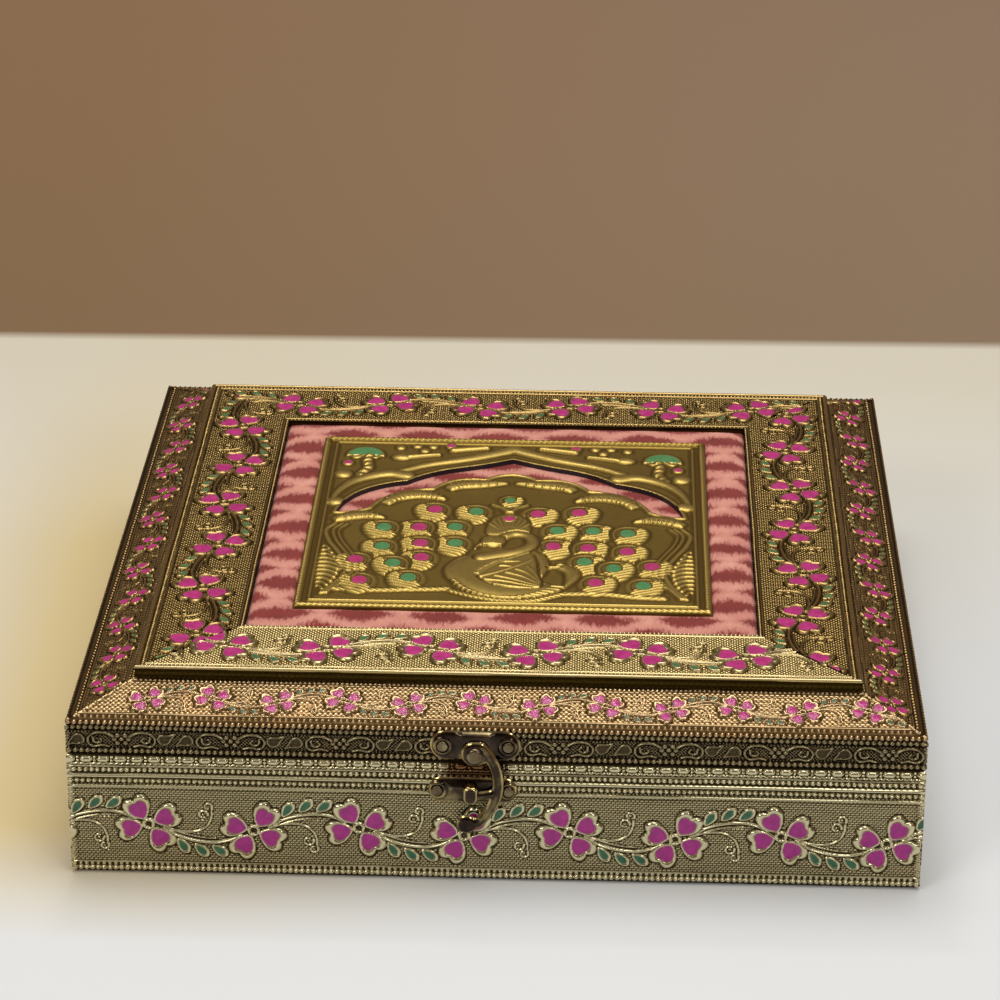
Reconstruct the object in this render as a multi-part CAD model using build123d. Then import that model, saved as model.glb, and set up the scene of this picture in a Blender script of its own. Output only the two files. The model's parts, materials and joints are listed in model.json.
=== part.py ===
from build123d import *
import os
from math import atan2, cos, hypot, radians, sin

# A square dry fruit box with embossed foil over board, a hinged lid and a hook latch.
# Millimetres. X runs to the right, Y to the back and Z up. The origin is the middle of the underside.

# Plan and heights of the whole box
plan_width = 254.0
plan_depth = 254.0
base_height = 40.0
seam_gap = 0.3
rim_height = 12.0
border_width = 18.2
border_rise = 5.3
frame_width = 30.2
frame_step = 3.4

# Sheets and boards
relief = 1.0
step_relief = 0.5
foil_thickness = 0.4
wall_board_thickness = 6.0
floor_board_thickness = 4.0
lid_board_thickness = 5.0
lid_rail_thickness = 6.0
cover_thickness = 0.6
cover_inset = 4.0
lining_thickness = 1.0
divider_thickness = 3.0
divider_height = 31.0
divider_slot_play = 0.15
divider_end_play = 0.1

# Velvet panel and plaque
panel_board_thickness = 5.0
panel_side_play = 0.3
pad_crown = 0.7
pad_edge_radius = 1.2
pad_drop = 1.2
plaque_width = 130.0
plaque_depth = 130.0
plaque_board_thickness = 1.0
plaque_play = 0.3
plaque_rope_width = 2.2
arch_corners = [(57.0, 5.0), (45.0, 26.0), (16.0, 40.5), (0.0, 47.8)]
arch_bows = [-2.0, 1.6, 1.4]
scallop_corners = [(0.0, 36.0), (13.0, 27.0), (33.0, 18.0), (50.0, 1.5)]
scallop_bows = [-1.0, 2.4, 2.0]
fan_radius = 25.0
fan_bevel = 2.0
fan_drop = 11.0

# Rows of relief along each wall: height of the middle, width and how far it stands out
wall_ridges = [
    (1.7, 2.0, 1.0),
    (3.9, 0.6, 0.5),
    (29.6, 1.2, 1.0),
    (31.3, 1.6, 0.8),
    (33.4, 1.2, 1.0),
    (35.4, 1.6, 0.8),
    (38.7, 1.8, 0.6),
]
rim_ridge_width = 1.8
rim_ridge_lift = 0.5
corner_rail_height = 1.8
corner_rail_width = 2.2
corner_rail_bevel = 0.4
frame_rail_width = 1.9
frame_rail_bevel = 0.4
frame_inner_rail_drop = 0.2
frame_lip_depth = 2.6

# Flower garlands embossed in the foil; the first flower's start is measured from the side's end
wall_flower_pitch = 31.4
wall_flower_radius = 10.0
wall_flower_start = 23.7
wall_flower_height = 16.2
wall_flower_zigzag = 0.8
border_flower_pitch = 19.4
border_flower_radius = 5.7
border_flower_start = 23.5
border_flower_zigzag = 0.5
frame_flower_pitch = 31.5
frame_flower_start = 43.6
flower_emboss = 0.7
border_emboss = 0.5
petal_share = 0.34
petal_reach = 0.62
heart_share = 0.2
boss_taper = 0.75
leaf_length_share = 0.44
leaf_width_share = 0.26
leaf_step_share = 0.55
leaf_reach_share = 0.72
leaf_lean = 40

# Hinges at the back
hinge_offset = 70.0
leaf_width = 25.0
leaf_height = 11.0
leaf_thickness = 0.8
knuckle_radius = 2.0
hinge_pin_radius = 0.9
hinge_stand = 2.4
knuckle_gap = 0.3
leaf_nail_inset = 2.6
leaf_nail_margin = 3.0
running_play = 0.05

# Latch and catch in the middle of the front
latch_x = -5.8
latch_plate_width = 26.7
latch_plate_height = 9.9
latch_plate_level = 46.2
pivot_drop = 1.8
latch_nail_spacing = 19.4
catch_plate_width = 26.4
catch_plate_height = 8.5
catch_drop = 13.1
catch_shift = -0.7
catch_nail_spacing = 21.2
plate_thickness = 0.8
plate_bevel = 0.25
boss_radius = 3.2
hook_stand = 1.1
hook_thickness = 1.2
hook_ring_radius = 4.2
hook_arm_width = 3.4
hook_arm = [(1.6, 2.2), (6.8, -9.2), (2.0, -21.8)]
hook_foot = [(2.0, -21.8), (-0.6, -23.4), (-2.6, -22.6)]
hook_lobe = [(5.4, -13.2), (0.6, -14.0)]
hook_lobe_width = 2.9
hook_toe = (-2.4, -23.6)
hook_toe_radius = 3.1
rivet_radius = 1.5
rivet_head_radius = 2.6
dome_share = 0.75
tongue_bevel = 0.8
tongue_width = 4.3
tongue_x = -1.3
tongue_root_drop = 9.8
tongue_length = 6.4
tongue_thickness = 1.0
tongue_play = 0.3

# Nails
nail_shank_radius = 0.6
nail_head_radius = 1.7
nail_head_height = 0.7
nail_depth = 3.6
nail_tip_room = 0.4

# Levels and distances worked out from the sizes above
board_inset = relief + foil_thickness
floor_level = cover_thickness + floor_board_thickness
lining_level = floor_level + lining_thickness
lid_foot = base_height + seam_gap
rim_top = base_height + rim_height
border_top = rim_top + border_rise
overall_height = border_top + frame_step
frame_inset = border_width + frame_width
slope = atan2(border_rise, border_width)
foil_drop = foil_thickness / cos(slope)
corner_rail_foot = rim_top - corner_rail_height
lid_board_top = corner_rail_foot
lid_board_foot = lid_board_top - lid_board_thickness
frame_ground = overall_height - relief
opening_width = plan_width - 2 * frame_inset
opening_depth = plan_depth - 2 * frame_inset
pad_foot = lid_board_top + panel_board_thickness
pad_top = overall_height - pad_drop
plaque_foot = pad_top - pad_crown
plaque_sheet_foot = plaque_foot + plaque_board_thickness
plaque_ground = plaque_sheet_foot + foil_thickness
inner_width = plan_width - 2 * (board_inset + wall_board_thickness)
inner_depth = plan_depth - 2 * (board_inset + wall_board_thickness)
front_plane = -plan_depth / 2
back_plane = plan_depth / 2
hinge_axis_y = back_plane + hinge_stand
hinge_axis_z = base_height + seam_gap / 2
pivot_z = latch_plate_level - pivot_drop
catch_level = pivot_z - catch_drop

# Each side: its length, how far its outer plane lies from the middle, and its turn about Z
sides = {
    "front": (plan_width, plan_depth / 2, 0),
    "right": (plan_depth, plan_width / 2, 90),
    "back": (plan_width, plan_depth / 2, 180),
    "left": (plan_depth, plan_width / 2, 270),
}

os.makedirs("parts", exist_ok=True)


def save(part, name):
    """Write one sub-part under its own name."""
    export_step(part, f"parts/{name}.step")


def block(width, depth, z_low, z_high, x=0.0, y=0.0):
    """An upright rectangular block between two levels."""
    height = z_high - z_low
    return Pos(x, y, z_low + height / 2) * Box(width, depth, height)


def outline(points):
    """A flat face from a closed run of points."""
    return make_face(Polyline(*points, close=True))


def strip(section, side):
    """A mitred length along one side. The section's points are (distance inwards, height)."""
    length, distance, turn = sides[side]
    inner = max(inward for inward, height in section)
    top = max(height for inward, height in section)
    points = [(inward - distance, height) for inward, height in section]
    bar = extrude(Plane.YZ * outline(points), amount=length / 2, both=True)
    half = length / 2
    corners = [
        (-half, -distance),
        (half, -distance),
        (half - inner, inner - distance),
        (inner - half, inner - distance),
    ]
    mitre = extrude(Plane.XY * outline(corners), amount=top + relief)
    return Rot(0, 0, turn) * (bar & mitre)


def butt_board(side, z_low, z_high, inset, thickness):
    """A board on one side. Front and back run right across, and left and right fit between them."""
    length, distance, turn = sides[side]
    run = length - 2 * inset
    if side in ("left", "right"):
        run -= 2 * thickness
    middle = -distance + inset + thickness / 2
    return Rot(0, 0, turn) * block(run, thickness, z_low, z_high, 0.0, middle)


def ridged_plate(z_low, z_high, ridges):
    """Section of an upright foil with rows of relief on its outer face."""
    points = [(board_inset, z_low), (relief, z_low)]
    for middle, width, lift in ridges:
        points += [
            (relief, middle - width / 2),
            (relief - lift, middle - width / 4),
            (relief - lift, middle + width / 4),
            (relief, middle + width / 2),
        ]
    points += [(relief, z_high), (board_inset, z_high)]
    return points


def border_ground(inward):
    """Height of the sloping border's plain ground at a distance inwards."""
    return rim_top - relief + border_rise * inward / border_width


def flower(radius, lean, emboss):
    """Four rounded petals and a heart, standing up from the XY plane."""
    bosses = []
    reach = petal_reach * radius
    petal = petal_share * radius
    heart = heart_share * radius
    for quarter in range(4):
        angle = radians(lean + 90 * quarter)
        boss = Cone(petal, boss_taper * petal, emboss)
        bosses.append(Pos(reach * cos(angle), reach * sin(angle), emboss / 2) * boss)
    bosses.append(Pos(0, 0, emboss / 2) * Cone(heart, boss_taper * heart, emboss))
    return bosses


def leaves(radius, pitch, side_of_stem, emboss):
    """Three leaves in the gap after a flower, above or below the stem."""
    made = []
    shape = Ellipse(leaf_length_share * radius / 2, leaf_width_share * radius / 2)
    height = leaf_reach_share * radius * side_of_stem
    for index in (-1, 0, 1):
        leaf = Rot(0, 0, leaf_lean * side_of_stem) * extrude(shape, amount=emboss)
        made.append(Pos(pitch / 2 + leaf_step_share * radius * index, height) * leaf)
    return made


def garland(first, last, pitch, radius, zigzag, emboss):
    """Flowers along X from first to last, mirrored in turn, with leaves between them."""
    bosses = []
    count = int((last - first) / pitch) + 1
    for index in range(count):
        turn = 1 if index % 2 == 0 else -1
        lean = 30 if turn > 0 else 60
        place = Pos(first + index * pitch, zigzag * turn, 0)
        bosses += [place * boss for boss in flower(radius, lean, emboss)]
        if index < count - 1:
            bosses += [place * leaf for leaf in leaves(radius, pitch, -turn, emboss)]
    return bosses


def with_garland(foil, side, plane, bosses):
    """Fuse a garland, laid out on a plane of the front side, to the foil of any side."""
    turn = sides[side][2]
    return foil + [Rot(0, 0, turn) * plane.location * boss for boss in bosses]


# Nail rows of the hardware: where each row crosses its side of the box or of the lid
latch_nails = [latch_x - latch_nail_spacing / 2, latch_x + latch_nail_spacing / 2]
catch_middle = latch_x + catch_shift
catch_nails = [catch_middle - catch_nail_spacing / 2, catch_middle + catch_nail_spacing / 2]
leaf_nail_offset = leaf_width / 2 - leaf_nail_inset
leaf_nail_rise = leaf_height - leaf_nail_margin
lower_leaf_nail_level = hinge_axis_z - leaf_nail_rise
upper_leaf_nail_level = hinge_axis_z + leaf_nail_rise
hinge_nails = []
for hinge_x in (-hinge_offset, hinge_offset):
    hinge_nails += [hinge_x - leaf_nail_offset, hinge_x + leaf_nail_offset]
box_nail_rows = {
    "front": (catch_nails, catch_level),
    "back": (hinge_nails, lower_leaf_nail_level),
}
lid_nail_rows = {
    "front": (latch_nails, latch_plate_level),
    "back": (hinge_nails, upper_leaf_nail_level),
}


def drilled(part, side, rows):
    """Drill the nail holes of one side's row, where that side has one."""
    if side in rows:
        xs, level = rows[side]
        face_y = front_plane if side == "front" else back_plane
        reach = 2 * (nail_depth + nail_tip_room)
        for x in xs:
            hole = Rot(90, 0, 0) * Cylinder(nail_shank_radius + running_play, reach)
            part = part - Pos(x, face_y, level) * hole
    return part


# Box walls, floor and underside
for side in sides:
    board = butt_board(side, cover_thickness, base_height, board_inset, wall_board_thickness)
    save(drilled(board, side, box_nail_rows), f"{side}_wall_board")

save(block(inner_width, inner_depth, cover_thickness, floor_level), "floor_board")
cover_width = plan_width - 2 * cover_inset
cover_depth = plan_depth - 2 * cover_inset
save(block(cover_width, cover_depth, 0.0, cover_thickness), "bottom_cover")

# Wall foils with their rows of relief and garlands
for side in sides:
    length, distance, turn = sides[side]
    foil = strip(ridged_plate(cover_thickness, base_height, wall_ridges), side)
    ground = Plane(origin=(0, relief - distance, 0), x_dir=(1, 0, 0), z_dir=(0, -1, 0))
    first = wall_flower_start - length / 2
    last = length / 2 - wall_flower_radius
    bosses = garland(first, last, wall_flower_pitch, wall_flower_radius, wall_flower_zigzag, flower_emboss)
    raised = [Pos(0, wall_flower_height, 0) * boss for boss in bosses]
    foil = with_garland(foil, side, ground, raised)
    save(drilled(foil, side, box_nail_rows), f"{side}_wall_foil")

# Linings and dividers inside
save(block(inner_width, inner_depth, floor_level, lining_level), "floor_lining")
lining_inset = board_inset + wall_board_thickness
for side in sides:
    lining = butt_board(side, lining_level, base_height, lining_inset, lining_thickness)
    save(lining, f"{side}_wall_lining")

divider_top = lining_level + divider_height
slot_level = lining_level + divider_height / 2
slot_width = divider_thickness + 2 * divider_slot_play
long_run = inner_width - 2 * (lining_thickness + divider_end_play)
cross_run = inner_depth - 2 * (lining_thickness + divider_end_play)
long_divider = block(long_run, divider_thickness, lining_level, divider_top)
long_divider -= block(slot_width, slot_width, slot_level, overall_height)
cross_divider = block(divider_thickness, cross_run, lining_level, divider_top)
cross_divider -= block(slot_width, slot_width, 0.0, slot_level)
save(long_divider, "long_divider")
save(cross_divider, "cross_divider")

# Lid boards
lid_width = plan_width - 2 * board_inset
lid_depth = plan_depth - 2 * board_inset
top_board = block(lid_width, lid_depth, lid_board_foot, lid_board_top)
for side in lid_nail_rows:
    top_board = drilled(top_board, side, lid_nail_rows)
save(top_board, "lid_top_board")
for side in sides:
    rail = butt_board(side, lid_foot, lid_board_foot, board_inset, lid_rail_thickness)
    save(drilled(rail, side, lid_nail_rows), f"{side}_lid_rail")
lid_lining_width = lid_width - 2 * lid_rail_thickness
lid_lining_depth = lid_depth - 2 * lid_rail_thickness
lid_lining_foot = lid_board_foot - lining_thickness
save(block(lid_lining_width, lid_lining_depth, lid_lining_foot, lid_board_foot), "lid_lining")

# Upright rim foils
rim_ridge = (lid_foot + rim_ridge_lift + rim_ridge_width / 2, rim_ridge_width, relief)
rim_section = ridged_plate(lid_foot, corner_rail_foot, [rim_ridge])
for side in sides:
    save(drilled(strip(rim_section, side), side, lid_nail_rows), f"{side}_rim_foil")

# Sloping border: a wedge of board under a foil that turns down over the corner rail
border_end = border_width + step_relief
wedge = [
    (board_inset, lid_board_top),
    (board_inset, border_ground(board_inset) - foil_drop),
    (border_end, border_ground(border_end) - foil_drop),
    (border_end, lid_board_top),
]
border_section = [
    (board_inset, corner_rail_foot),
    (corner_rail_bevel, corner_rail_foot),
    (0.0, corner_rail_foot + corner_rail_bevel),
    (0.0, rim_top - corner_rail_bevel),
    (corner_rail_bevel, rim_top),
    (corner_rail_width - corner_rail_bevel, rim_top),
    (corner_rail_width, border_ground(corner_rail_width)),
    (border_end, border_ground(border_end)),
    (border_end, border_ground(border_end) - foil_drop),
    (board_inset, border_ground(board_inset) - foil_drop),
]
for side in sides:
    length, distance, turn = sides[side]
    save(strip(wedge, side), f"{side}_border_moulding")
    foil = strip(border_section, side)
    middle = (corner_rail_width + border_width) / 2
    slope_plane = Plane(
        origin=(0, middle - distance, border_ground(middle)),
        x_dir=(1, 0, 0),
        z_dir=(0, -sin(slope), cos(slope)),
    )
    first = border_flower_start - length / 2
    last = length / 2 - middle - border_flower_radius
    bosses = garland(
        first, last, border_flower_pitch, border_flower_radius, border_flower_zigzag, border_emboss
    )
    save(with_garland(foil, side, slope_plane, bosses), f"{side}_border_foil")

# Raised frame: four mitred mouldings, each wrapped in its foil
wall_outer = border_width + step_relief
wall_inner = wall_outer + foil_thickness
lip_inner = frame_inset - foil_thickness
moulding_top = frame_ground - foil_thickness
moulding = [
    (wall_inner, lid_board_top),
    (wall_inner, moulding_top),
    (lip_inner, moulding_top),
    (lip_inner, lid_board_top),
]
inner_rail_top = overall_height - frame_inner_rail_drop
frame_section = [
    (wall_outer, lid_board_top),
    (wall_outer, frame_ground - frame_rail_bevel),
    (border_width, frame_ground),
    (border_width, overall_height - frame_rail_bevel),
    (border_width + frame_rail_bevel, overall_height),
    (border_width + frame_rail_width - frame_rail_bevel, overall_height),
    (border_width + frame_rail_width, frame_ground),
    (frame_inset - frame_rail_width, frame_ground),
    (frame_inset - frame_rail_width + frame_rail_bevel, inner_rail_top),
    (frame_inset - frame_rail_bevel, inner_rail_top),
    (frame_inset, inner_rail_top - frame_rail_bevel),
    (frame_inset, overall_height - frame_lip_depth),
    (lip_inner, overall_height - frame_lip_depth),
    (lip_inner, moulding_top),
    (wall_inner, moulding_top),
    (wall_inner, lid_board_top),
]
for side in sides:
    length, distance, turn = sides[side]
    save(strip(moulding, side), f"{side}_frame_moulding")
    foil = strip(frame_section, side)
    middle = border_width + frame_width / 2
    top_plane = Plane(origin=(0, middle - distance, frame_ground), x_dir=(1, 0, 0), z_dir=(0, 0, 1))
    first = frame_flower_start - length / 2
    last = length / 2 - middle - wall_flower_radius
    bosses = garland(
        first, last, frame_flower_pitch, wall_flower_radius, wall_flower_zigzag, flower_emboss
    )
    save(with_garland(foil, side, top_plane, bosses), f"{side}_frame_foil")

# Padded velvet panel, drawn down under the plaque
board_width = opening_width - 2 * panel_side_play
board_depth = opening_depth - 2 * panel_side_play
save(block(board_width, board_depth, lid_board_top, pad_foot), "panel_board")
pad = block(board_width, board_depth, pad_foot, pad_top)
pad = fillet(pad.faces().sort_by(Axis.Z)[-1].edges(), pad_edge_radius)
bed_width = plaque_width + 2 * plaque_play
bed_depth = plaque_depth + 2 * plaque_play
pad -= block(bed_width, bed_depth, plaque_foot, overall_height)
save(pad, "velvet_panel")


def bowed_run(corners, bows):
    """Arcs from corner to corner, each bowed to the left of its run by its own amount."""
    arcs = []
    for start, end, bow in zip(corners[:-1], corners[1:], bows):
        run_x, run_y = end[0] - start[0], end[1] - start[1]
        run = hypot(run_x, run_y)
        middle = ((start[0] + end[0]) / 2 - bow * run_y / run, (start[1] + end[1]) / 2 + bow * run_x / run)
        arcs += ThreePointArc(start, middle, end).edges()
    return arcs


def arch_slot_face():
    """The crescent between the pointed arch and the scalloped edge below it."""
    edges = bowed_run(arch_corners, arch_bows) + bowed_run(scallop_corners, scallop_bows)
    edges += Line(arch_corners[-1], scallop_corners[0]).edges()
    edges += Line(scallop_corners[-1], arch_corners[0]).edges()
    half = make_face(Wire(edges))
    return half + mirror(half, Plane.YZ)


slot = extrude(arch_slot_face(), amount=overall_height)
plaque_board = block(plaque_width, plaque_depth, plaque_foot, plaque_sheet_foot) - slot
save(plaque_board, "plaque_board")
plaque_sheet = block(plaque_width, plaque_depth, plaque_sheet_foot, plaque_ground)
rope = block(plaque_width, plaque_depth, plaque_ground, overall_height)
rope_inner_width = plaque_width - 2 * plaque_rope_width
rope_inner_depth = plaque_depth - 2 * plaque_rope_width
rope -= block(rope_inner_width, rope_inner_depth, 0.0, 2 * overall_height)
fan_thickness = overall_height - plaque_ground
fan = Cone(fan_radius, fan_radius - fan_bevel, fan_thickness)
fan = Pos(0, -fan_drop, plaque_ground + fan_thickness / 2) * fan
plaque_sheet = plaque_sheet + [rope, fan]
save(plaque_sheet - slot, "plaque_sheet")


def hinge_leaf(x_middle, upward):
    """One leaf with its knuckles: the lid's leaf has the middle one and the box's leaf the outer two."""
    third = leaf_width / 3
    sign = 1 if upward else -1
    low, high = sorted((hinge_axis_z, hinge_axis_z + sign * leaf_height))
    plate_y = back_plane + leaf_thickness / 2
    leaf = block(leaf_width, leaf_thickness, low, high, x_middle, plate_y)
    own = [0] if upward else [-1, 1]
    other = [-1, 1] if upward else [0]
    notch_low = hinge_axis_z - hinge_stand
    notch_high = hinge_axis_z + hinge_stand
    for place in other:
        notch_x = x_middle + place * third
        notch_width = third + knuckle_gap
        leaf -= block(notch_width, 2 * leaf_thickness, notch_low, notch_high, notch_x, plate_y)
    for place in own:
        knuckle = Rot(0, 90, 0) * Cylinder(knuckle_radius, third - knuckle_gap)
        knuckle_x = x_middle + place * (third + knuckle_gap / 2)
        leaf += Pos(knuckle_x, hinge_axis_y, hinge_axis_z) * knuckle
    bore = Rot(0, 90, 0) * Cylinder(hinge_pin_radius + running_play, 2 * leaf_width)
    leaf -= Pos(x_middle, hinge_axis_y, hinge_axis_z) * bore
    level = upper_leaf_nail_level if upward else lower_leaf_nail_level
    row = {"back": ([x_middle - leaf_nail_offset, x_middle + leaf_nail_offset], level)}
    return drilled(leaf, "back", row)


for name, x_middle in (("left", -hinge_offset), ("right", hinge_offset)):
    save(hinge_leaf(x_middle, False), f"{name}_hinge_box_leaf")
    save(hinge_leaf(x_middle, True), f"{name}_hinge_lid_leaf")
    pin = Rot(0, 90, 0) * Cylinder(hinge_pin_radius, leaf_width)
    save(Pos(x_middle, hinge_axis_y, hinge_axis_z) * pin, f"{name}_hinge_pin")

# Latch: everything is drawn seen from the front, with x to the right and z up, and extruded outwards


def outward(face, start, thickness, x, z):
    """Extrude a face outwards from a distance in front of the box."""
    plane = Plane(origin=(x, front_plane - start, z), x_dir=(1, 0, 0), z_dir=(0, -1, 0))
    return extrude(plane * face, amount=thickness)


latch_plate = outward(
    SlotOverall(latch_plate_width, latch_plate_height), 0.0, plate_thickness, latch_x, latch_plate_level
)
latch_plate = chamfer(latch_plate.faces().sort_by(Axis.Y)[0].edges(), plate_bevel)
hook_start = plate_thickness + hook_stand
boss_height = hook_stand - running_play
latch_plate += outward(Circle(boss_radius), plate_thickness, boss_height, latch_x, pivot_z)
latch_plate = drilled(latch_plate, "front", lid_nail_rows)
latch_plate -= outward(Circle(rivet_radius), 0.0, hook_start, latch_x, pivot_z)
save(latch_plate, "latch_plate")

rivet_head_start = hook_start + hook_thickness + running_play
rivet_head_height = tongue_play + tongue_thickness - running_play
rivet = outward(Circle(rivet_radius), 0.0, rivet_head_start, latch_x, pivot_z)
rivet_head = outward(Circle(rivet_head_radius), rivet_head_start, rivet_head_height, latch_x, pivot_z)
rivet_head = fillet(rivet_head.faces().sort_by(Axis.Y)[0].edges(), dome_share * rivet_head_height)
save(rivet + rivet_head, "latch_rivet")

# Hook: a ring on the rivet, an arm that bows to the right, a lobe behind the tongue and a rounded toe
arm_path = ThreePointArc(*hook_arm) + ThreePointArc(*hook_foot)
hook_face = trace(arm_path, line_width=hook_arm_width)
hook_face += Circle(hook_ring_radius)
hook_face += trace(Line(*hook_lobe), line_width=hook_lobe_width)
hook_face += Pos(*hook_toe) * Circle(hook_toe_radius)
hook_face -= Circle(rivet_radius + running_play)
save(outward(hook_face, hook_start, hook_thickness, latch_x, pivot_z), "latch_hook")

# Catch plate with a tongue bent out over the hook's lobe and down in front of it
catch_plate = outward(
    SlotOverall(catch_plate_width, catch_plate_height), 0.0, plate_thickness, catch_middle, catch_level
)
catch_plate = chamfer(catch_plate.faces().sort_by(Axis.Y)[0].edges(), plate_bevel)
tongue_front = hook_start + hook_thickness + tongue_play + tongue_thickness
root_level = pivot_z - tongue_root_drop
tongue_section = [
    (0.0, root_level - tongue_thickness),
    (0.0, root_level),
    (tongue_front - tongue_bevel, root_level),
    (tongue_front, root_level - tongue_bevel),
    (tongue_front, root_level - tongue_length),
    (tongue_front - tongue_thickness, root_level - tongue_length),
    (tongue_front - tongue_thickness, root_level - tongue_thickness),
]
tongue_points = [(front_plane - out, level) for out, level in tongue_section]
tongue = extrude(Plane.YZ * outline(tongue_points), amount=tongue_width / 2, both=True)
catch_plate += Pos(latch_x + tongue_x, 0, 0) * tongue
catch_plate = drilled(catch_plate, "front", box_nail_rows)
save(catch_plate, "catch_plate")


def nail(x, direction, sheet_thickness, level):
    """A domed nail through a plate, its shank in the board behind."""
    face_y = front_plane if direction > 0 else back_plane
    outer_y = face_y - direction * sheet_thickness
    shank_length = nail_depth + sheet_thickness
    shank = Pos(0, 0, -shank_length / 2) * Cylinder(nail_shank_radius, shank_length)
    head = Pos(0, 0, nail_head_height / 2) * Cylinder(nail_head_radius, nail_head_height)
    head = fillet(head.faces().sort_by(Axis.Z)[-1].edges(), dome_share * nail_head_height)
    return Pos(x, outer_y, level) * Rot(90 * direction, 0, 0) * (shank + head)


def nail_group(rows):
    """Identical nails as separate solids of one group."""
    solids = []
    for xs, direction, thickness, level in rows:
        solids += [nail(x, direction, thickness, level) for x in xs]
    return Compound(children=solids)


save(
    nail_group(
        [
            (latch_nails, 1, plate_thickness, latch_plate_level),
            (hinge_nails, -1, leaf_thickness, upper_leaf_nail_level),
        ]
    ),
    "lid_nails",
)
save(
    nail_group(
        [
            (catch_nails, 1, plate_thickness, catch_level),
            (hinge_nails, -1, leaf_thickness, lower_leaf_nail_level),
        ]
    ),
    "box_nails",
)
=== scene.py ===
import json
import math

import bpy
import numpy as np
from mathutils import Matrix, Vector


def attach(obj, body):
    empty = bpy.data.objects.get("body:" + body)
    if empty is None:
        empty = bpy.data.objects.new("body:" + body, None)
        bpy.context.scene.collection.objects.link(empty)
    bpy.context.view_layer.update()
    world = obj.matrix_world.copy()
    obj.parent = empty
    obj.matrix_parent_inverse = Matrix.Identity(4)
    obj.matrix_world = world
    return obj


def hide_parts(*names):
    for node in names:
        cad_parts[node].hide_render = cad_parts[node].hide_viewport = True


# A square dry fruit box in embossed foil, seen as in the photograph.
# The relief is worked out in millimetres, and the meshes are in metres.

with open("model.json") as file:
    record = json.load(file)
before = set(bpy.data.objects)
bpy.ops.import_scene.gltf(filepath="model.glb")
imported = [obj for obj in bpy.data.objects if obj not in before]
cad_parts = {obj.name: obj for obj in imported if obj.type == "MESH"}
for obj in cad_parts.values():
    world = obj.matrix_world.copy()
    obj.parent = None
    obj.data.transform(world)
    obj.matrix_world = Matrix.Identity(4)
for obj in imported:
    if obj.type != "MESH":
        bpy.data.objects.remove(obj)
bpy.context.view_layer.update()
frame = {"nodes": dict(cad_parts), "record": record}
nodes = frame["nodes"]
MM = 0.001

# Camera of the photograph, millimetres and degrees
camera_azimuth = -1.601
camera_elevation = 24.385
camera_roll = 0.411
camera_distance = 1131.5
camera_target = Vector((1.046, 0.0, 75.438))
camera_lens = 125.87
camera_shift = (-0.012565, -0.022795)

# Sizes shared with the solids, millimetres
half_side = 127.0
relief = 1.0
base_foot = 0.62
base_top = 39.98
lid_foot = 40.32
rail_foot = 50.22
border_width = 18.2
border_rise = 5.3
rim_top = 52.0
frame_face = 18.75
frame_ground = 59.7
flower_start = 23.7
flower_pitch = 31.4
border_flower_pitch = 19.4
frame_flower_pitch = 31.5

# Grid steps of the reliefs, millimetres
coarse = 1.0
step_x = 0.325 * coarse
step_row = 0.2 * coarse
step_plaque = 0.3 * coarse
hardware_step = 0.16 * coarse
pad_step = 0.8 * coarse
TILE_LIMIT = 98000
uv_span = (0.005, 0.995)

# The height that stands for no motif, and the space kept round each motif
BARE = -9.0
MARGIN = 1.4


def smooth(low, high, value):
    """A soft step from 0 at low to 1 at high."""
    t = np.clip((value - low) / (high - low), 0.0, 1.0)
    return t * t * (3.0 - 2.0 * t)


def curve(points, steps=8, closed=False):
    """A smooth run through the given points."""
    pts = np.array(points, float)
    if closed:
        ring = np.vstack([pts[-1:], pts, pts[:2]])
    else:
        ring = np.vstack([2 * pts[0] - pts[1], pts, 2 * pts[-1] - pts[-2]])
    made = []
    for i in range(1, len(ring) - 2):
        a, b, c, d = ring[i - 1], ring[i], ring[i + 1], ring[i + 2]
        for k in range(steps):
            t = k / steps
            bend = (2 * a - 5 * b + 4 * c - d) * t**2 + (3 * b - a - 3 * c + d) * t**3
            made.append(0.5 * (2 * b + (c - a) * t + bend))
    if not closed:
        made.append(ring[-2])
    return np.array(made)


def arc(cx, cy, radius, start, end, steps=14):
    """Points along a round arc, in degrees, whose radius may taper as a pair."""
    r0, r1 = radius if isinstance(radius, tuple) else (radius, radius)
    t = np.linspace(0.0, 1.0, steps)
    a = np.radians(start + (end - start) * t)
    r = r0 + (r1 - r0) * t
    return np.stack([cx + r * np.cos(a), cy + r * np.sin(a)], 1)


def run_distance(x, y, pts):
    """Distance from each place to an open run, and how far along it the nearest point lies."""
    best = np.full(x.shape, 1e9)
    along = np.zeros(x.shape)
    lengths = np.hypot(*(pts[1:] - pts[:-1]).T)
    total = max(lengths.sum(), 1e-9)
    passed = 0.0
    for (ax, ay), (bx, by), size in zip(pts[:-1], pts[1:], lengths):
        if size < 1e-9:
            continue
        t = np.clip(((x - ax) * (bx - ax) + (y - ay) * (by - ay)) / size**2, 0.0, 1.0)
        d = np.hypot(x - ax - t * (bx - ax), y - ay - t * (by - ay))
        closer = d < best
        best = np.where(closer, d, best)
        along = np.where(closer, (passed + t * size) / total, along)
        passed += size
    return best, along


def ring_distance(x, y, pts):
    """Signed distance to a closed outline, below zero inside."""
    closed = np.vstack([pts, pts[:1]])
    d, _ = run_distance(x, y, closed)
    inside = np.zeros(x.shape, bool)
    for (ax, ay), (bx, by) in zip(closed[:-1], closed[1:]):
        if ay == by:
            continue
        crosses = (ay > y) != (by > y)
        inside ^= crosses & (x < (bx - ax) * (y - ay) / (by - ay) + ax)
    return np.where(inside, -d, d)


def blurred(values, reaches):
    """The mean over a box round each place, given by its reach in rows and in columns."""
    for axis, reach in enumerate(reaches):
        values = sum(np.roll(values, k, axis) for k in range(-reach, reach + 1)) / (2 * reach + 1)
    return values


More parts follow.
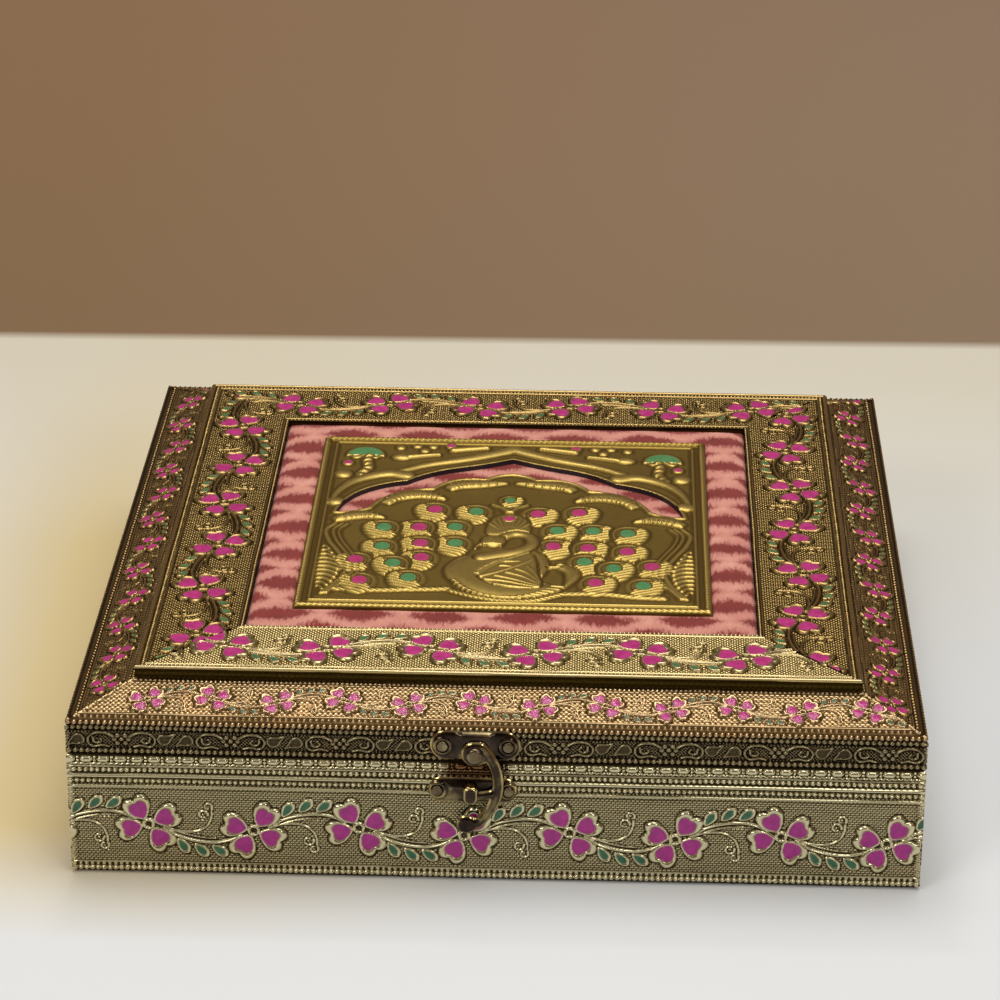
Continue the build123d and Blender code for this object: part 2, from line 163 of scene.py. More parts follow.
class Relief:
    """Embossed metal over a flat patch: height, distance to the nearest motif and the two enamels."""

    def __init__(self, xs, ys):
        self.xs, self.ys = np.asarray(xs), np.asarray(ys)
        self.x, self.y = np.meshgrid(self.xs, self.ys)
        self.h, self.pink, self.green = (np.zeros(self.x.shape) for _ in range(3))
        self.top = np.full(self.x.shape, BARE)
        self.near = np.full(self.x.shape, 9.0)
        # dull scales the rubbed-bright layer down; on the plaque's back strip it carries painted shade.
        self.dull = np.ones(self.x.shape)
        self.moat = 0.0

    def window(self, pts, reach=0.0):
        """The part of the patch round some points, and its places."""
        low = np.min(pts, 0) - reach - MARGIN
        high = np.max(pts, 0) + reach + MARGIN
        i0, i1 = np.searchsorted(self.xs, (low[0], high[0]))
        j0, j1 = np.searchsorted(self.ys, (low[1], high[1]))
        where = slice(j0, j1), slice(i0, i1)
        return where, self.x[where], self.y[where]

    def paint(self, where, inside, colour=None, mask=0.0):
        """Lay one enamel over the places inside, and clear the other from them."""
        for name in ("pink", "green"):
            layer = getattr(self, name)
            layer[where] = np.where(inside, mask if name == colour else 0.0, layer[where])

    def raise_to(self, where, height, distance):
        """Lift the motif layer to a height where the distance to the motif is not above zero."""
        inside = distance <= 0.0
        if self.moat:
            self.top[where] = np.where(inside, height, self.top[where])
            edge = (distance > 0.0) & (distance < self.moat) & (self.top[where] > BARE)
            self.top[where] = np.where(edge, np.minimum(self.top[where], 0.04), self.top[where])
            self.paint(where, distance < self.moat)
        else:
            self.top[where] = np.where(inside, np.maximum(self.top[where], height), self.top[where])
        self.near[where] = np.minimum(self.near[where], np.maximum(distance, 0.0))

    def strand(self, points, width, height, end_width=None, steps=8, ready=False):
        """A half-round stem along a run, its width tapering from the start to the end."""
        pts = np.asarray(points, float) if ready else curve(points, steps)
        end_width = width if end_width is None else end_width
        widest = max(width, end_width)
        where, x, y = self.window(pts, widest / 2)
        d, along = run_distance(x, y, pts)
        half = (width + (end_width - width) * along) / 2
        t = np.clip(d / half, 0.0, 1.0)
        body = height * np.sqrt(1.0 - t * t) * (0.55 + 0.45 * half / widest * 2)
        self.raise_to(where, body, d - half)

    def dome(self, cx, cy, rx, ry=None, height=0.6):
        """A rounded boss."""
        ry = rx if ry is None else ry
        where, x, y = self.window([(cx, cy)], max(rx, ry))
        t = np.hypot((x - cx) / rx, (y - cy) / ry)
        body = height * np.clip(1.0 - t * t, 0.0, 1.0) ** 0.5
        self.raise_to(where, body, (t - 1.0) * min(rx, ry))

    def shape(self, outline, height, edge):
        """A raised outline with rounded edges."""
        where, x, y = self.window(outline)
        d = ring_distance(x, y, outline)
        t = np.clip(1.0 + d / edge, 0.0, 1.0)
        self.raise_to(where, height * (1.0 - t * t) ** 0.5, d)

    def cell(self, outer, inner, lip, level, colour, dome=0.12):
        """A lip round an enamelled hollow."""
        where, x, y = self.window(outer)
        d_out = ring_distance(x, y, outer)
        d_in = ring_distance(x, y, inner)
        from_out, to_in = np.maximum(-d_out, 0), np.maximum(d_in, 0)
        t = np.clip(-d_out / (from_out + to_in + 1e-6), 0.0, 1.0)
        wide = np.clip((from_out + to_in) / 1.6, 0.45, 1.0)
        rising = np.sin(np.clip(t / 0.45, 0, 1) * math.pi / 2) ** 0.8
        falling = np.cos(np.clip((t - 0.45) / 0.55, 0, 1) * math.pi / 2) ** 0.8
        crest = lip * (0.55 + 0.45 * wide)
        body = np.where(t < 0.45, crest * rising, level + (crest - level) * falling)
        bowl = level + dome * (1 - np.exp(np.minimum(d_in, 0) / 0.7))
        body = np.where(d_in <= 0, bowl, body)
        inside = d_out <= 0.0
        self.top[where] = np.where(inside, body, self.top[where])
        self.near[where] = np.minimum(self.near[where], np.maximum(d_out, 0.0))
        self.paint(where, inside, colour, 1.0 - smooth(-0.16, 0.1, d_in))

    def row(self, level, radius, pitch, height, long=None, phase=0.0):
        """A row of round beads, or of longer ones, along X."""
        long = radius if long is None else long
        f = self.x / pitch + phase
        f = (f - np.round(f)) * pitch
        d = np.maximum(np.abs(f) - (long - radius), 0.0)
        t = (d**2 + (self.y - level) ** 2) / radius**2
        near_row = np.abs(self.y - level) < radius * 1.12
        bead = height * np.sqrt(np.clip(1.0 - t, 0.0, 1.0))
        self.h = np.where(near_row, np.maximum(bead, -0.22 * np.ones_like(bead)) - 0.14 * (t > 1), self.h)

    def ribbed(self, points, width, height, pitch, lean=0.5, depth=0.45, steps=8):
        """A stem with slanting ribs across it, like a twisted cord or a barbed feather."""
        pts = curve(points, steps)
        where, x, y = self.window(pts, width / 2)
        d, along = run_distance(x, y, pts)
        total = np.hypot(*(pts[1:] - pts[:-1]).T).sum()
        step = np.gradient(pts, axis=0)
        nearest = np.clip((along * (len(pts) - 1)).round().astype(int), 0, len(pts) - 1)
        tx, ty = step[nearest, 0], step[nearest, 1]
        side = np.sign(tx * (y - pts[nearest, 1]) - ty * (x - pts[nearest, 0]))
        wave = np.cos(2 * math.pi * (along * total / pitch + lean * side * d / (width / 2)))
        t = np.clip(d / (width / 2), 0.0, 1.0)
        body = height * np.sqrt(1.0 - t * t) * (1.0 - depth + depth * (0.5 + 0.5 * wave))
        self.raise_to(where, body, d - width / 2)

    def scale(self, cx, cy, colour, size=1.2):
        """A scale of the fan: an enamelled eye, with slanted barbs on its outer and lower side."""
        barb_lean, barb_pitch = math.radians(-24.0), 1.65
        eye_size = min(size, 1.08)
        where, x, y = self.window([(cx, cy)], 8.6 * size)
        x, y = (x - cx) * (-1 if cx < -1.0 else 1), y - cy
        across = np.where(x > 0, 6.0, 4.7) * size
        down = np.where(y > 0, 5.2, 7.9) * size
        t = np.hypot(x / across, y / down)
        eye = np.hypot(x / 2.35, y / np.where(y > 0, 2.95, 2.6)) / eye_size
        outer = np.clip(0.85 * x / across - 0.95 * y / down + 0.42, 0.0, 1.0)
        ribs = (y * math.cos(barb_lean) + x * math.sin(barb_lean)) / barb_pitch
        barb = 0.5 + 0.5 * np.cos(2 * math.pi * ribs)
        band = np.clip((1.0 - t) / 0.16, 0.0, 1.0) ** 0.5 * smooth(1.0, 1.3, eye)
        barbed = smooth(0.1, 0.6, outer)
        rings = 0.5 + 0.5 * np.cos(2 * math.pi * t / 0.27)
        body = 0.1 + band * (barbed * (0.2 + 0.55 * barb**0.8) + (1.0 - barbed) * 0.16 * rings)
        lip = np.clip(1.0 - np.abs(eye - 1.14) / 0.2, 0.0, 1.0)
        body = np.maximum(body, 0.1 + 0.5 * np.sqrt(lip) * smooth(-0.25, 0.35, 0.5 * x / across - y / down))
        self.raise_to(where, body, (t - 1.0) * 5.0 * size)
        bowl = 0.3 * np.sqrt(np.clip(1.1 - eye**2, 0, 1)) + 0.2
        self.top[where] = np.where(eye < 1.04, bowl, self.top[where])
        self.paint(where, t < 1.0, colour, 1.0 - smooth(0.9, 1.03, eye))

    def rail(self, level, width, height):
        """A plain half-round rail along X."""
        t = np.clip(np.abs(self.y - level) / (width / 2), 0.0, 1.0)
        self.h = np.where(t < 1.0, height * np.sqrt(1.0 - t * t), self.h)

    def dashes(self, low, high, pitch_x, pitch_y, height, square=1.0, gap=0.1):
        """Ground of short dashes laid like bricks."""
        inside = (self.y >= low) & (self.y <= high)
        row = np.floor((self.y - low) / pitch_y)
        f = self.x / pitch_x + 0.5 * (row % 2)
        f = f - np.round(f)
        g = (self.y - low) / pitch_y - row - 0.5
        bump = np.clip(1.0 - np.abs(f / 0.46) ** (2.6 * square), 0.0, 1.0)
        bump = bump * np.clip(1.0 - (g / 0.46) ** (2 * square), 0.0, 1.0)
        self.h = np.where(inside, -gap + (height + gap) * np.sqrt(bump), self.h)

    def lattice(self, low, high, pitch, height):
        """Ground of small dots on slanting lines."""
        inside = (self.y >= low) & (self.y <= high)
        a = (self.x + self.y) / (pitch * math.sqrt(2))
        b = (self.x - self.y) / (pitch * math.sqrt(2))
        a, b = a - np.round(a), b - np.round(b)
        bump = np.clip(1.0 - (a * a + b * b) / 0.2, 0.0, 1.0)
        self.h = np.where(inside, -0.1 + (height + 0.1) * np.sqrt(bump), self.h)

    def settle(self, clear=0.45, dip=0.16):
        """Lay the motifs over the ground, with a dark moat round each."""
        quiet = smooth(0.05, clear, self.near)
        ground = self.h * quiet - dip * (1.0 - quiet)
        self.h = np.where(self.top > BARE, self.top, ground)

    def worn(self, blur=1.1):
        """How far each place is rubbed bright, from the height over its surroundings."""
        steps = (float(np.median(np.diff(values))) for values in (self.ys, self.xs))
        high = self.h - blurred(self.h, [max(1, int(round(blur / step))) for step in steps])
        bright = 0.65 * smooth(-0.16, 0.16, high) + 0.35 * smooth(-0.05, 0.5, self.h)
        return np.clip(bright * self.dull, 0.0, 1.0)

    def layers(self):
        """The layers that a foil's material reads."""
        return [self.worn(), self.pink, self.green]


PETAL = [(1.8, 0.0), (3.5, 2.3), (6.0, 3.95), (8.5, 4.0), (10.0, 2.5), (9.7, 0.9), (9.0, 0.0)]
PETAL_CELL = [(2.4, 0.0), (3.2, 1.35), (4.7, 2.45), (6.3, 2.75), (7.5, 2.1), (7.9, 1.0), (7.7, 0.0)]


def petal_outline(half, angle, cx, cy, size, turn):
    """Both halves of a petal, placed and turned."""
    run = np.array(half + [(x, -y) for x, y in reversed(half[1:-1])])
    run = curve(run, 5, closed=True) * size
    a = math.radians(angle)
    x = cx + run[:, 0] * math.cos(a) - run[:, 1] * math.sin(a)
    y = cy + turn * (run[:, 0] * math.sin(a) + run[:, 1] * math.cos(a))
    return np.stack([x, y], 1)


def flower(patch, cx, cy, size, turn, lip, swell):
    """Four heart petals with enamel cells round a ring."""
    cell_half = [(x, y * swell) for x, y in PETAL_CELL]
    for angle, stretch in ((25, 1.0), (120, 1.02), (195, 1.0), (305, 1.02)):
        outer = petal_outline(PETAL, angle, cx, cy, size * stretch, turn)
        inner = petal_outline(cell_half, angle, cx, cy, size * stretch, turn)
        patch.cell(outer, inner, lip, 0.45 * lip, "pink", 0.16 * lip)
    patch.strand(arc(cx, cy, 1.45 * size, 0, 360, 20), 1.1 * size, 0.95 * lip, ready=True)


LEAF = [(-2.6, 0.0), (-1.5, 0.95), (0.0, 1.5), (1.5, 1.35), (2.7, 0.0)]
LEAF_CELL = [(-1.8, 0.0), (-0.9, 0.62), (0.0, 0.85), (0.9, 0.75), (1.5, 0.0)]


def leaf(patch, cx, cy, angle, size, turn, lip, fill):
    """A pointed leaf with a green cell."""
    outer = petal_outline(LEAF, angle, cx, cy, size * (1.0 + 0.5 * (fill - 1.0)), turn)
    inner = petal_outline(LEAF_CELL, angle, cx, cy, size * fill, turn)
    patch.cell(outer, inner, lip, 0.42 * lip, "green", 0.1 * lip)


def spray(patch, cx, cy, size, turn, lip, fill):
    """What lies between one flower and the next: a stem, three leaves and a curled tendril."""

    def at(points):
        return [(cx + x * size, cy + turn * y * size) for x, y in points]

    tendril = at([(5.0, -1.5), (10.0, -2.5), (14.6, -2.2), (17.6, -0.2), (18.8, 2.6), (18.9, 4.6)])
    patch.strand(tendril, 0.75 * size + 0.1, 0.6 * lip, 0.6 * size)
    for x, y, radius, start, end in ((17.9, 6.0, 1.35, -35, 265), (16.3, 3.3, 1.55, -10, 300)):
        curl = arc(0, 0, (radius, 0.62 * radius), start, end, 18)
        patch.strand(at(curl + np.array([x, y])), 0.62 * size + 0.1, 0.55 * lip, 0.5 * size, ready=True)
        px, py = at([(x, y)])[0]
        patch.dome(px, py, 0.38 * size, height=0.4 * lip)
    stem = at([(4.6, -1.2), (9.0, -4.0), (14.0, -5.5), (19.6, -6.0), (24.0, -5.1), (27.6, -3.4)])
    patch.strand(stem, 1.05 * size, 0.85 * lip, 0.9 * size)
    upper = at([(5.2, -0.9), (10.0, -3.0), (15.5, -4.3), (20.0, -4.6)])
    patch.strand(upper, 0.6 * size, 0.6 * lip, 0.4 * size)
    for x, y, angle in ((10.2, -7.3, -57), (15.6, -8.7, -46), (21.1, -8.7, -36)):
        px, py = at([(x, y)])[0]
        leaf(patch, px, py, angle, size, turn, 0.9 * lip, fill)


def garland(patch, first, pitch, size, level, zigzag, lip, swell=1.0, fill=1.0):
    """Flowers along a strip, each the mirror of the last, from one end to the other."""
    index = -1
    while True:
        cx = first + index * pitch
        if cx > patch.xs[-1] + 12 * size:
            break
        turn = 1 if index % 2 == 0 else -1
        cy = level + zigzag * turn
        spray(patch, cx, cy, size, turn, lip, fill)
        flower(patch, cx, cy, size, turn, lip, swell)
        index += 1


def wobble(x, seed, size):
    """A slow waver along a strip, as in hand-pressed foil."""
    slow = np.sin(x / 23.0 + seed)
    return size * (slow + 0.6 * np.sin(x / 9.1 + 2.3 * seed) + 0.4 * np.sin(x / 5.3 - seed))


SIDES = {"front": 0, "right": 90, "back": 180, "left": 270}


def four(grid):
    """The corners of each cell of a grid, as four arrays."""
    return grid[:-1, :-1], grid[:-1, 1:], grid[1:, 1:], grid[1:, :-1]


def grid_index(rows, cols):
    """The numbers of a grid's points, and of the corners of its faces."""
    index = np.arange(rows * cols).reshape(rows, cols)
    return index, np.stack(four(index), -1)


def trimmed(x, y, xs, ys, d, step, least):
    """Slide the grid points next to an outline onto it, for a clean edge.

    Gives the moved points, which of them lie on the edge, and which cells lie inside."""
    gx, gy = np.gradient(d, xs, axis=1), np.gradient(d, ys, axis=0)
    steep = np.maximum(np.hypot(gx, gy), least)
    near = np.abs(d) < 0.75 * step
    slide = np.where(near, d, 0.0)
    outside = np.logical_or.reduce(four((d > 0.0) & ~near))
    beyond = np.logical_and.reduce(four(near)) & (d[:-1, :-1] > 0.0)
    return x - slide * gx / steep, y - slide * gy / steep, near, ~outside & ~beyond


def store_layers(mesh, layers):
    """Store up to three layers, from 0 to 1, in a mesh's colours."""
    colours = np.zeros((len(mesh.vertices), 4), np.float32)
    colours[:, 3] = 1.0
    for k, layer in enumerate(layers):
        colours[:, k] = layer
    store = mesh.color_attributes.new("Relief", "FLOAT_COLOR", "POINT")
    store.data.foreach_set("color", colours.ravel())


def sheet_mesh(name, points, keep, layers):
    """A mesh over a grid of points in millimetres, with its worn and enamel layers and a flat UV map."""
    rows, cols = points.shape[:2]
    quads = grid_index(rows, cols)[1][keep]
    used, flat = np.unique(quads, return_inverse=True)
    flat = flat.reshape(-1)
    verts = points.reshape(-1, 3)[used] * MM
    mesh = bpy.data.meshes.new(name)
    mesh.vertices.add(len(verts))
    mesh.vertices.foreach_set("co", verts.astype(np.float32).ravel())
    mesh.loops.add(len(flat))
    mesh.loops.foreach_set("vertex_index", flat.astype(np.int32))
    mesh.polygons.add(len(quads))
    mesh.polygons.foreach_set("loop_start", np.arange(0, len(flat), 4, dtype=np.int32))
    mesh.update(calc_edges=True)
    mesh.shade_smooth()
    store_layers(mesh, [layer.reshape(-1)[used] for layer in layers])
    u, v = (
        grid.reshape(-1)[used]
        for grid in np.meshgrid(np.linspace(*uv_span, cols), np.linspace(*uv_span, rows))
    )
    uv = mesh.uv_layers.new(name="OFBake")
    uv.data.foreach_set("uv", np.stack([u[flat], v[flat]], 1).astype(np.float32).ravel())
    mesh.validate()
    return mesh


def place(mesh, name, material, body, slot_name, node=None):
    """Put a mesh in the scene as a piece of the box or of the lid."""
    piece = bpy.data.objects.new(name, mesh)
    bpy.context.scene.collection.objects.link(piece)
    mesh.materials.append(material)
    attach(piece, body)
    if node:
        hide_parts(node)
    return piece


def lay_tiles(stem, tail, node, points, keep, layers, material, body, slot_name):
    """A worked sheet in as many pieces side by side as its size asks for. The first replaces the solid."""
    tiles = int(math.ceil(keep.sum() / TILE_LIMIT))
    cuts = np.linspace(0, keep.shape[1], tiles + 1).astype(int)
    for k, (start, end) in enumerate(zip(cuts[:-1], cuts[1:])):
        part = slice(start, end + 1)
        name = stem + (f"_{k + 1}" if tiles > 1 else "") + tail
        mesh = sheet_mesh(name, points[:, part], keep[:, start:end], [layer[:, part] for layer in layers])
        place(mesh, name, material, body, slot_name, None if k else node)


def lay_strip(kind, xs, rows, patches, body, front, others=None):
    """Wrap a worked-out strip round the four sides. Rows hold inward distance, height and normal.

    patches gives each side's relief; front and others give a material and a slot name, and the slot name is
    not used."""
    for side, turn in SIDES.items():
        patch = patches[side]
        inward = rows["inward"][:, None] + patch.h * rows["n_in"][:, None]
        level = rows["z"][:, None] + patch.h * rows["n_z"][:, None]
        limit = half_side - inward
        x = np.broadcast_to(xs, level.shape)
        keep = ~np.logical_and.reduce(four(np.abs(x) >= limit))
        x = np.clip(x, -limit, limit)
        y = inward - half_side
        c, s = round(math.cos(math.radians(turn))), round(math.sin(math.radians(turn)))
        turned = np.stack([x * c - y * s, x * s + y * c, level], -1)
        material, slot_name = front if side == "front" or others is None else others
        node = f"{side}_{kind}"
        lay_tiles(node, "_relief", node, turned, keep, patch.layers(), material, body, slot_name)


def profile(corners, step=step_row):
    """Rows along a folded section of (inward, z) corners: place, normal, leg, and how far along the leg."""
    rows = []
    for number, ((a_in, a_z), (b_in, b_z)) in enumerate(zip(corners[:-1], corners[1:])):
        size = math.hypot(b_in - a_in, b_z - a_z)
        n_in, n_z = -(b_z - a_z) / size, (b_in - a_in) / size
        count = max(1, int(round(size / step)))
        for k in range(1 if number else 0, count + 1):
            t = k / count
            rows.append((a_in + (b_in - a_in) * t, a_z + (b_z - a_z) * t, n_in, n_z, number, size * t))
    rows = dict(zip(("inward", "z", "n_in", "n_z", "leg", "run"), np.array(rows, float).T.copy()))
    for t in np.flatnonzero(np.diff(rows["leg"]) > 0):
        n = np.array([rows["n_in"][t] + rows["n_in"][t + 1], rows["n_z"][t] + rows["n_z"][t + 1]])
        rows["n_in"][t], rows["n_z"][t] = n / max(np.hypot(*n), 1e-6)
    return rows


def leg_runs(rows, starts):
    """One rising coordinate over all legs of a section, each leg from its own start."""
    return np.array([starts[int(leg)] for leg in rows["leg"]]) + rows["run"]


# Materials


class Tree:
    """Short calls for building a node tree."""

    def __init__(self, holder, shader="ShaderNodeBsdfPrincipled", output="ShaderNodeOutputMaterial"):
        holder.use_nodes = True
        self.holder = holder
        self.tree = holder.node_tree
        self.tree.nodes.clear()
        self.shader = self.tree.nodes.new(shader)
        self.add(output, {0: self.shader.outputs[0]})
        self.places = self.add("ShaderNodeTexCoord").outputs
        self.at = self.places["Object"]

    def set(self, node, name, value):
        """Give a socket its value, or link it to another node's output."""
        socket = node.inputs[name]
        if isinstance(value, bpy.types.NodeSocket):
            self.tree.links.new(value, socket)
        else:
            socket.default_value = (*value, 1.0) if socket.type == "RGBA" else value

    def add(self, kind, inputs=None, **settings):
        """Add a node with its settings and its inputs, by name or number."""
        node = self.tree.nodes.new(kind)
        for key, value in settings.items():
            setattr(node, key, value)
        for name, value in (inputs or {}).items():
            self.set(node, name, value)
        return node

    def finish(self, colour, rough, normal=None, **more):
        """Connect the shader's own sockets, and hand over the material."""
        for name, value in {"Base Color": colour, "Roughness": rough, "Normal": normal, **more}.items():
            if value is not None:
                self.set(self.shader, name.replace("_", " "), value)
        return self.holder

    def math(self, operation, a, b=0.5, clamp=False):
        return self.add("ShaderNodeMath", {0: a, 1: b}, operation=operation, use_clamp=clamp).outputs[0]

    def plus(self, a, b):
        return self.math("ADD", a, b)

    def minus(self, a, b):
        return self.math("SUBTRACT", a, b)

    def times(self, a, b):
        return self.math("MULTIPLY", a, b)

    def over(self, a, b):
        return self.math("DIVIDE", a, b)

    def swing(self, noise, share):
        """A noise about zero, in a given share."""
        return self.times(self.minus(noise, 0.5), share)

    def parts(self, vector):
        """The X, Y and Z of a vector."""
        return self.add("ShaderNodeSeparateXYZ", {0: vector}).outputs

    def noise(self, scale, detail, rough, vector=None):
        """A noise over the piece's own places, or over another vector."""
        inputs = {"Vector": vector or self.at, "Scale": scale, "Detail": detail, "Roughness": rough}
        return self.add("ShaderNodeTexNoise", inputs).outputs[0]

    def ramp(self, value, stops):
        """Colours by value, from pairs of place and colour."""
        node = self.add("ShaderNodeValToRGB", {0: value})
        ramp = node.color_ramp
        while len(ramp.elements) < len(stops):
            ramp.elements.new(0.5)
        for element, (at, colour) in zip(ramp.elements, stops):
            element.position = at
            element.color = (*colour, 1.0)
        return node.outputs[0]

    def mix(self, amount, a, b):
        return self.add("ShaderNodeMix", {0: amount, 6: a, 7: b}, data_type="RGBA").outputs[2]

    def span(self, value, low, high, to_low=0.0, to_high=1.0):
        """A value stretched from one range to another."""
        ends = dict(enumerate((value, low, high, to_low, to_high)))
        return self.add("ShaderNodeMapRange", ends).outputs[0]

    def bump(self, height, strength, distance):
        inputs = {"Height": height, "Strength": strength, "Distance": distance}
        return self.add("ShaderNodeBump", inputs).outputs[0]


PINK_ENAMEL = ((0.36, 0.018, 0.145), (0.54, 0.04, 0.23))
GREEN_ENAMEL = ((0.035, 0.125, 0.045), (0.085, 0.225, 0.085))
BORDER_ENAMELS = (PINK_ENAMEL, ((0.015, 0.075, 0.03), (0.04, 0.14, 0.055)))
WALL_ENAMELS = (((0.29, 0.010, 0.178), (0.43, 0.019, 0.243)), ((0.013, 0.086, 0.036), (0.032, 0.152, 0.064)))
PLAQUE_ENAMELS = (((0.38, 0.022, 0.12), (0.46, 0.04, 0.165)), ((0.055, 0.205, 0.07), (0.09, 0.265, 0.10)))
enamel_rough = 0.1


def foil(name, tones, polish=0.27, dull=0.6, copper=0.3, enamels=(PINK_ENAMEL, GREEN_ENAMEL), ripple=0.6,
         clouds=(38.0, 0.18), painted_shade_at=None):
    """Embossed metal: dark in the hollows, rubbed bright on the crests, with enamel in the cells.

    tones run from deep to bright, and clouds give the scale and share of uneven rubbing."""
    t = Tree(bpy.data.materials.new(name))
    layer = t.add("ShaderNodeVertexColor", layer_name="Relief").outputs[0]
    worn, pink, green = t.add("ShaderNodeSeparateColor", {0: layer}).outputs
    cloud_scale, cloud_share = clouds
    fine = t.noise(900.0, 2.0, 0.5)
    worn = t.math("ADD", worn, t.swing(t.noise(cloud_scale, 4.0, 0.6), cloud_share), clamp=True)
    metal = t.ramp(worn, list(zip((0.14, 0.45, 0.86), tones)))
    coppered = t.times(t.span(t.noise(70.0, 3.0, 0.6), 0.55, 0.75, 0.0, copper), worn)
    bright = tones[-1]
    metal = t.mix(coppered, metal, (bright[0] * 0.95, bright[1] * 0.66, bright[2] * 0.5))
    # Painted shade between the latch plates: a dark brown patch on the box's front, its brown tint a painted
    # reflection.
    if painted_shade_at:
        x, y, z = t.parts(t.at)
        across = t.math("ABSOLUTE", t.minus(x, painted_shade_at[0]))
        above = t.math("ABSOLUTE", t.minus(z, painted_shade_at[1]))
        shadow = t.times(t.span(across, 0.0075, 0.0110, 0.92, 0.0), t.span(above, 0.0032, 0.0046, 1.0, 0.0))
        shadow = t.times(shadow, t.span(y, -0.126, -0.12, 1.0, 0.0))
        painted_shade_colour = t.ramp(worn, [(0.3, (0.012, 0.004, 0.0015)), (0.95, (0.13, 0.045, 0.010))])
        metal = t.mix(shadow, metal, painted_shade_colour)
    streaks = t.noise(420.0, 3.0, 0.6)
    mottle = t.span(streaks, 0.35, 0.75)
    colour = metal
    for mask, shades in zip((pink, green), enamels):
        colour = t.mix(mask, colour, t.mix(mottle, *shades))
    enamel = t.math("MAXIMUM", pink, green)
    rough = t.plus(t.span(worn, 0.1, 0.8, dull, polish), t.swing(fine, 0.16))
    rough = t.add("ShaderNodeMix", {0: enamel, 2: rough, 3: enamel_rough}, data_type="FLOAT").outputs[0]
    height = t.plus(t.times(fine, 0.12), t.times(t.times(streaks, enamel), ripple))
    metallic = t.math("SUBTRACT", 1.0, enamel, clamp=True)
    return t.finish(colour, rough, t.bump(height, 1.0, 0.0002), Metallic=metallic)


# The wall foil carries the painted shade and painted brown reflection between the latch plates.
wall_finish = foil(
    "pale_antique_foil", ((0.045, 0.036, 0.016), (0.37, 0.31, 0.155), (0.60, 0.55, 0.35)),
    0.15, 0.42, 0.25, WALL_ENAMELS, 0.3, painted_shade_at=(-0.0058, 0.0372),
)
border_finish = foil(
    "coppery_foil", ((0.05, 0.028, 0.0085), (0.25, 0.155, 0.065), (0.47, 0.335, 0.18)),
    0.22, 0.5, 0.5, BORDER_ENAMELS, 2.6,
)
# Painted shade: the sides other than the front take darker copies of the border and frame foils.
shaded_border_finish = foil(
    "shaded_coppery_foil", ((0.022, 0.012, 0.005), (0.135, 0.08, 0.027), (0.40, 0.265, 0.105)), 0.28, 0.55, 0.4
)
frame_finish = foil(
    "yellow_gold_foil", ((0.06, 0.04, 0.0085), (0.34, 0.25, 0.09), (0.465, 0.365, 0.19)),
    0.26, 0.45, 0.2, ripple=1.2,
)
frame_side_finish = foil(
    "shaded_gold_foil", ((0.022, 0.014, 0.0045), (0.125, 0.08, 0.022), (0.37, 0.25, 0.095)), 0.28, 0.55, 0.3
)
dark_foil = foil(
    "oxidised_foil", ((0.010, 0.007, 0.004), (0.06, 0.044, 0.022), (0.27, 0.22, 0.12)), 0.26, 0.55, 0.3
)
plaque_foil = foil(
    "bright_gold_sheet", ((0.125, 0.075, 0.015), (0.27, 0.185, 0.042), (0.43, 0.305, 0.085)),
    0.38, 0.5, 0.1, PLAQUE_ENAMELS,
)


# Strips. Wall and rim carry the same relief on all four sides. On border and frame each side's
# garland starts at its own place. A row is given by level, radius, pitch, height and half length.
columns = np.arange(-half_side, half_side + 0.5 * step_x, step_x)
fold = 1.4
bead_pitch = 1.75
oval_pitch = 5.05
level_rise = 1e-6

# Box wall
wall_rows = profile([(fold, base_foot), (relief, base_foot), (relief, base_top), (fold, base_top)])
wall = Relief(columns, wall_rows["z"] + level_rise * np.arange(len(wall_rows["z"])))
wall.y = wall.y + wobble(wall.x, 1.0, 0.07)
wall.dashes(4.3, 29.1, 1.3, 0.76, 0.34)
wall.row(1.75, 0.82, bead_pitch, 0.95)
f = wall.x / bead_pitch
bars = np.clip(1.0 - np.abs((f - np.round(f)) * bead_pitch / 0.5) ** 2, 0.0, 1.0)
bars = bars * (np.abs(wall.y - 3.2) < 0.5)
wall.h = np.maximum(wall.h, 0.5 * np.sqrt(bars))
wall.rail(3.85, 0.6, 0.42)
wall.rail(29.6, 0.9, 0.75)
wall.row(30.45, 0.32, 1.17, 0.4, 0.36)
wall.row(31.5, 0.72, bead_pitch, 0.85)
wall.rail(33.3, 1.25, 0.9)
wall.row(35.1, 0.72, bead_pitch, 0.85, phase=0.4)
wall.rail(36.35, 0.5, 0.45)
scallop_wave = np.abs(np.cos(math.pi * wall.x / 1.72))
t = np.clip(np.abs(wall.y - 36.95 - 0.42 * scallop_wave) / 0.3, 0.0, 1.0)
wall.h = np.maximum(wall.h, 0.5 * np.sqrt(1.0 - t * t) * (t < 1.0))
wall.row(38.65, 0.98, oval_pitch, 0.9, 1.85)
f = wall.x / oval_pitch + 0.5
f = (f - np.round(f)) * oval_pitch
for bead_level in (38.15, 39.2):
    t = (f**2 + (wall.y - bead_level) ** 2) / 0.42**2
    wall.h = np.maximum(wall.h, 0.55 * np.sqrt(np.clip(1 - t, 0, 1)))
garland(wall, flower_start - half_side, flower_pitch, 1.0, 16.2, 0.8, 0.95, fill=1.3)
wall.settle()
wall.h = np.clip(wall.h + 0.7 * smooth(124.6, 126.8, np.abs(wall.x)), -0.3, 0.98)
wall.h[wall_rows["leg"] != 1] = 0.0
lay_strip(
    "wall_foil", columns, wall_rows, dict.fromkeys(SIDES, wall), "box",
    (wall_finish, "embossed_foil"), (wall_finish, "side_foil"),
)

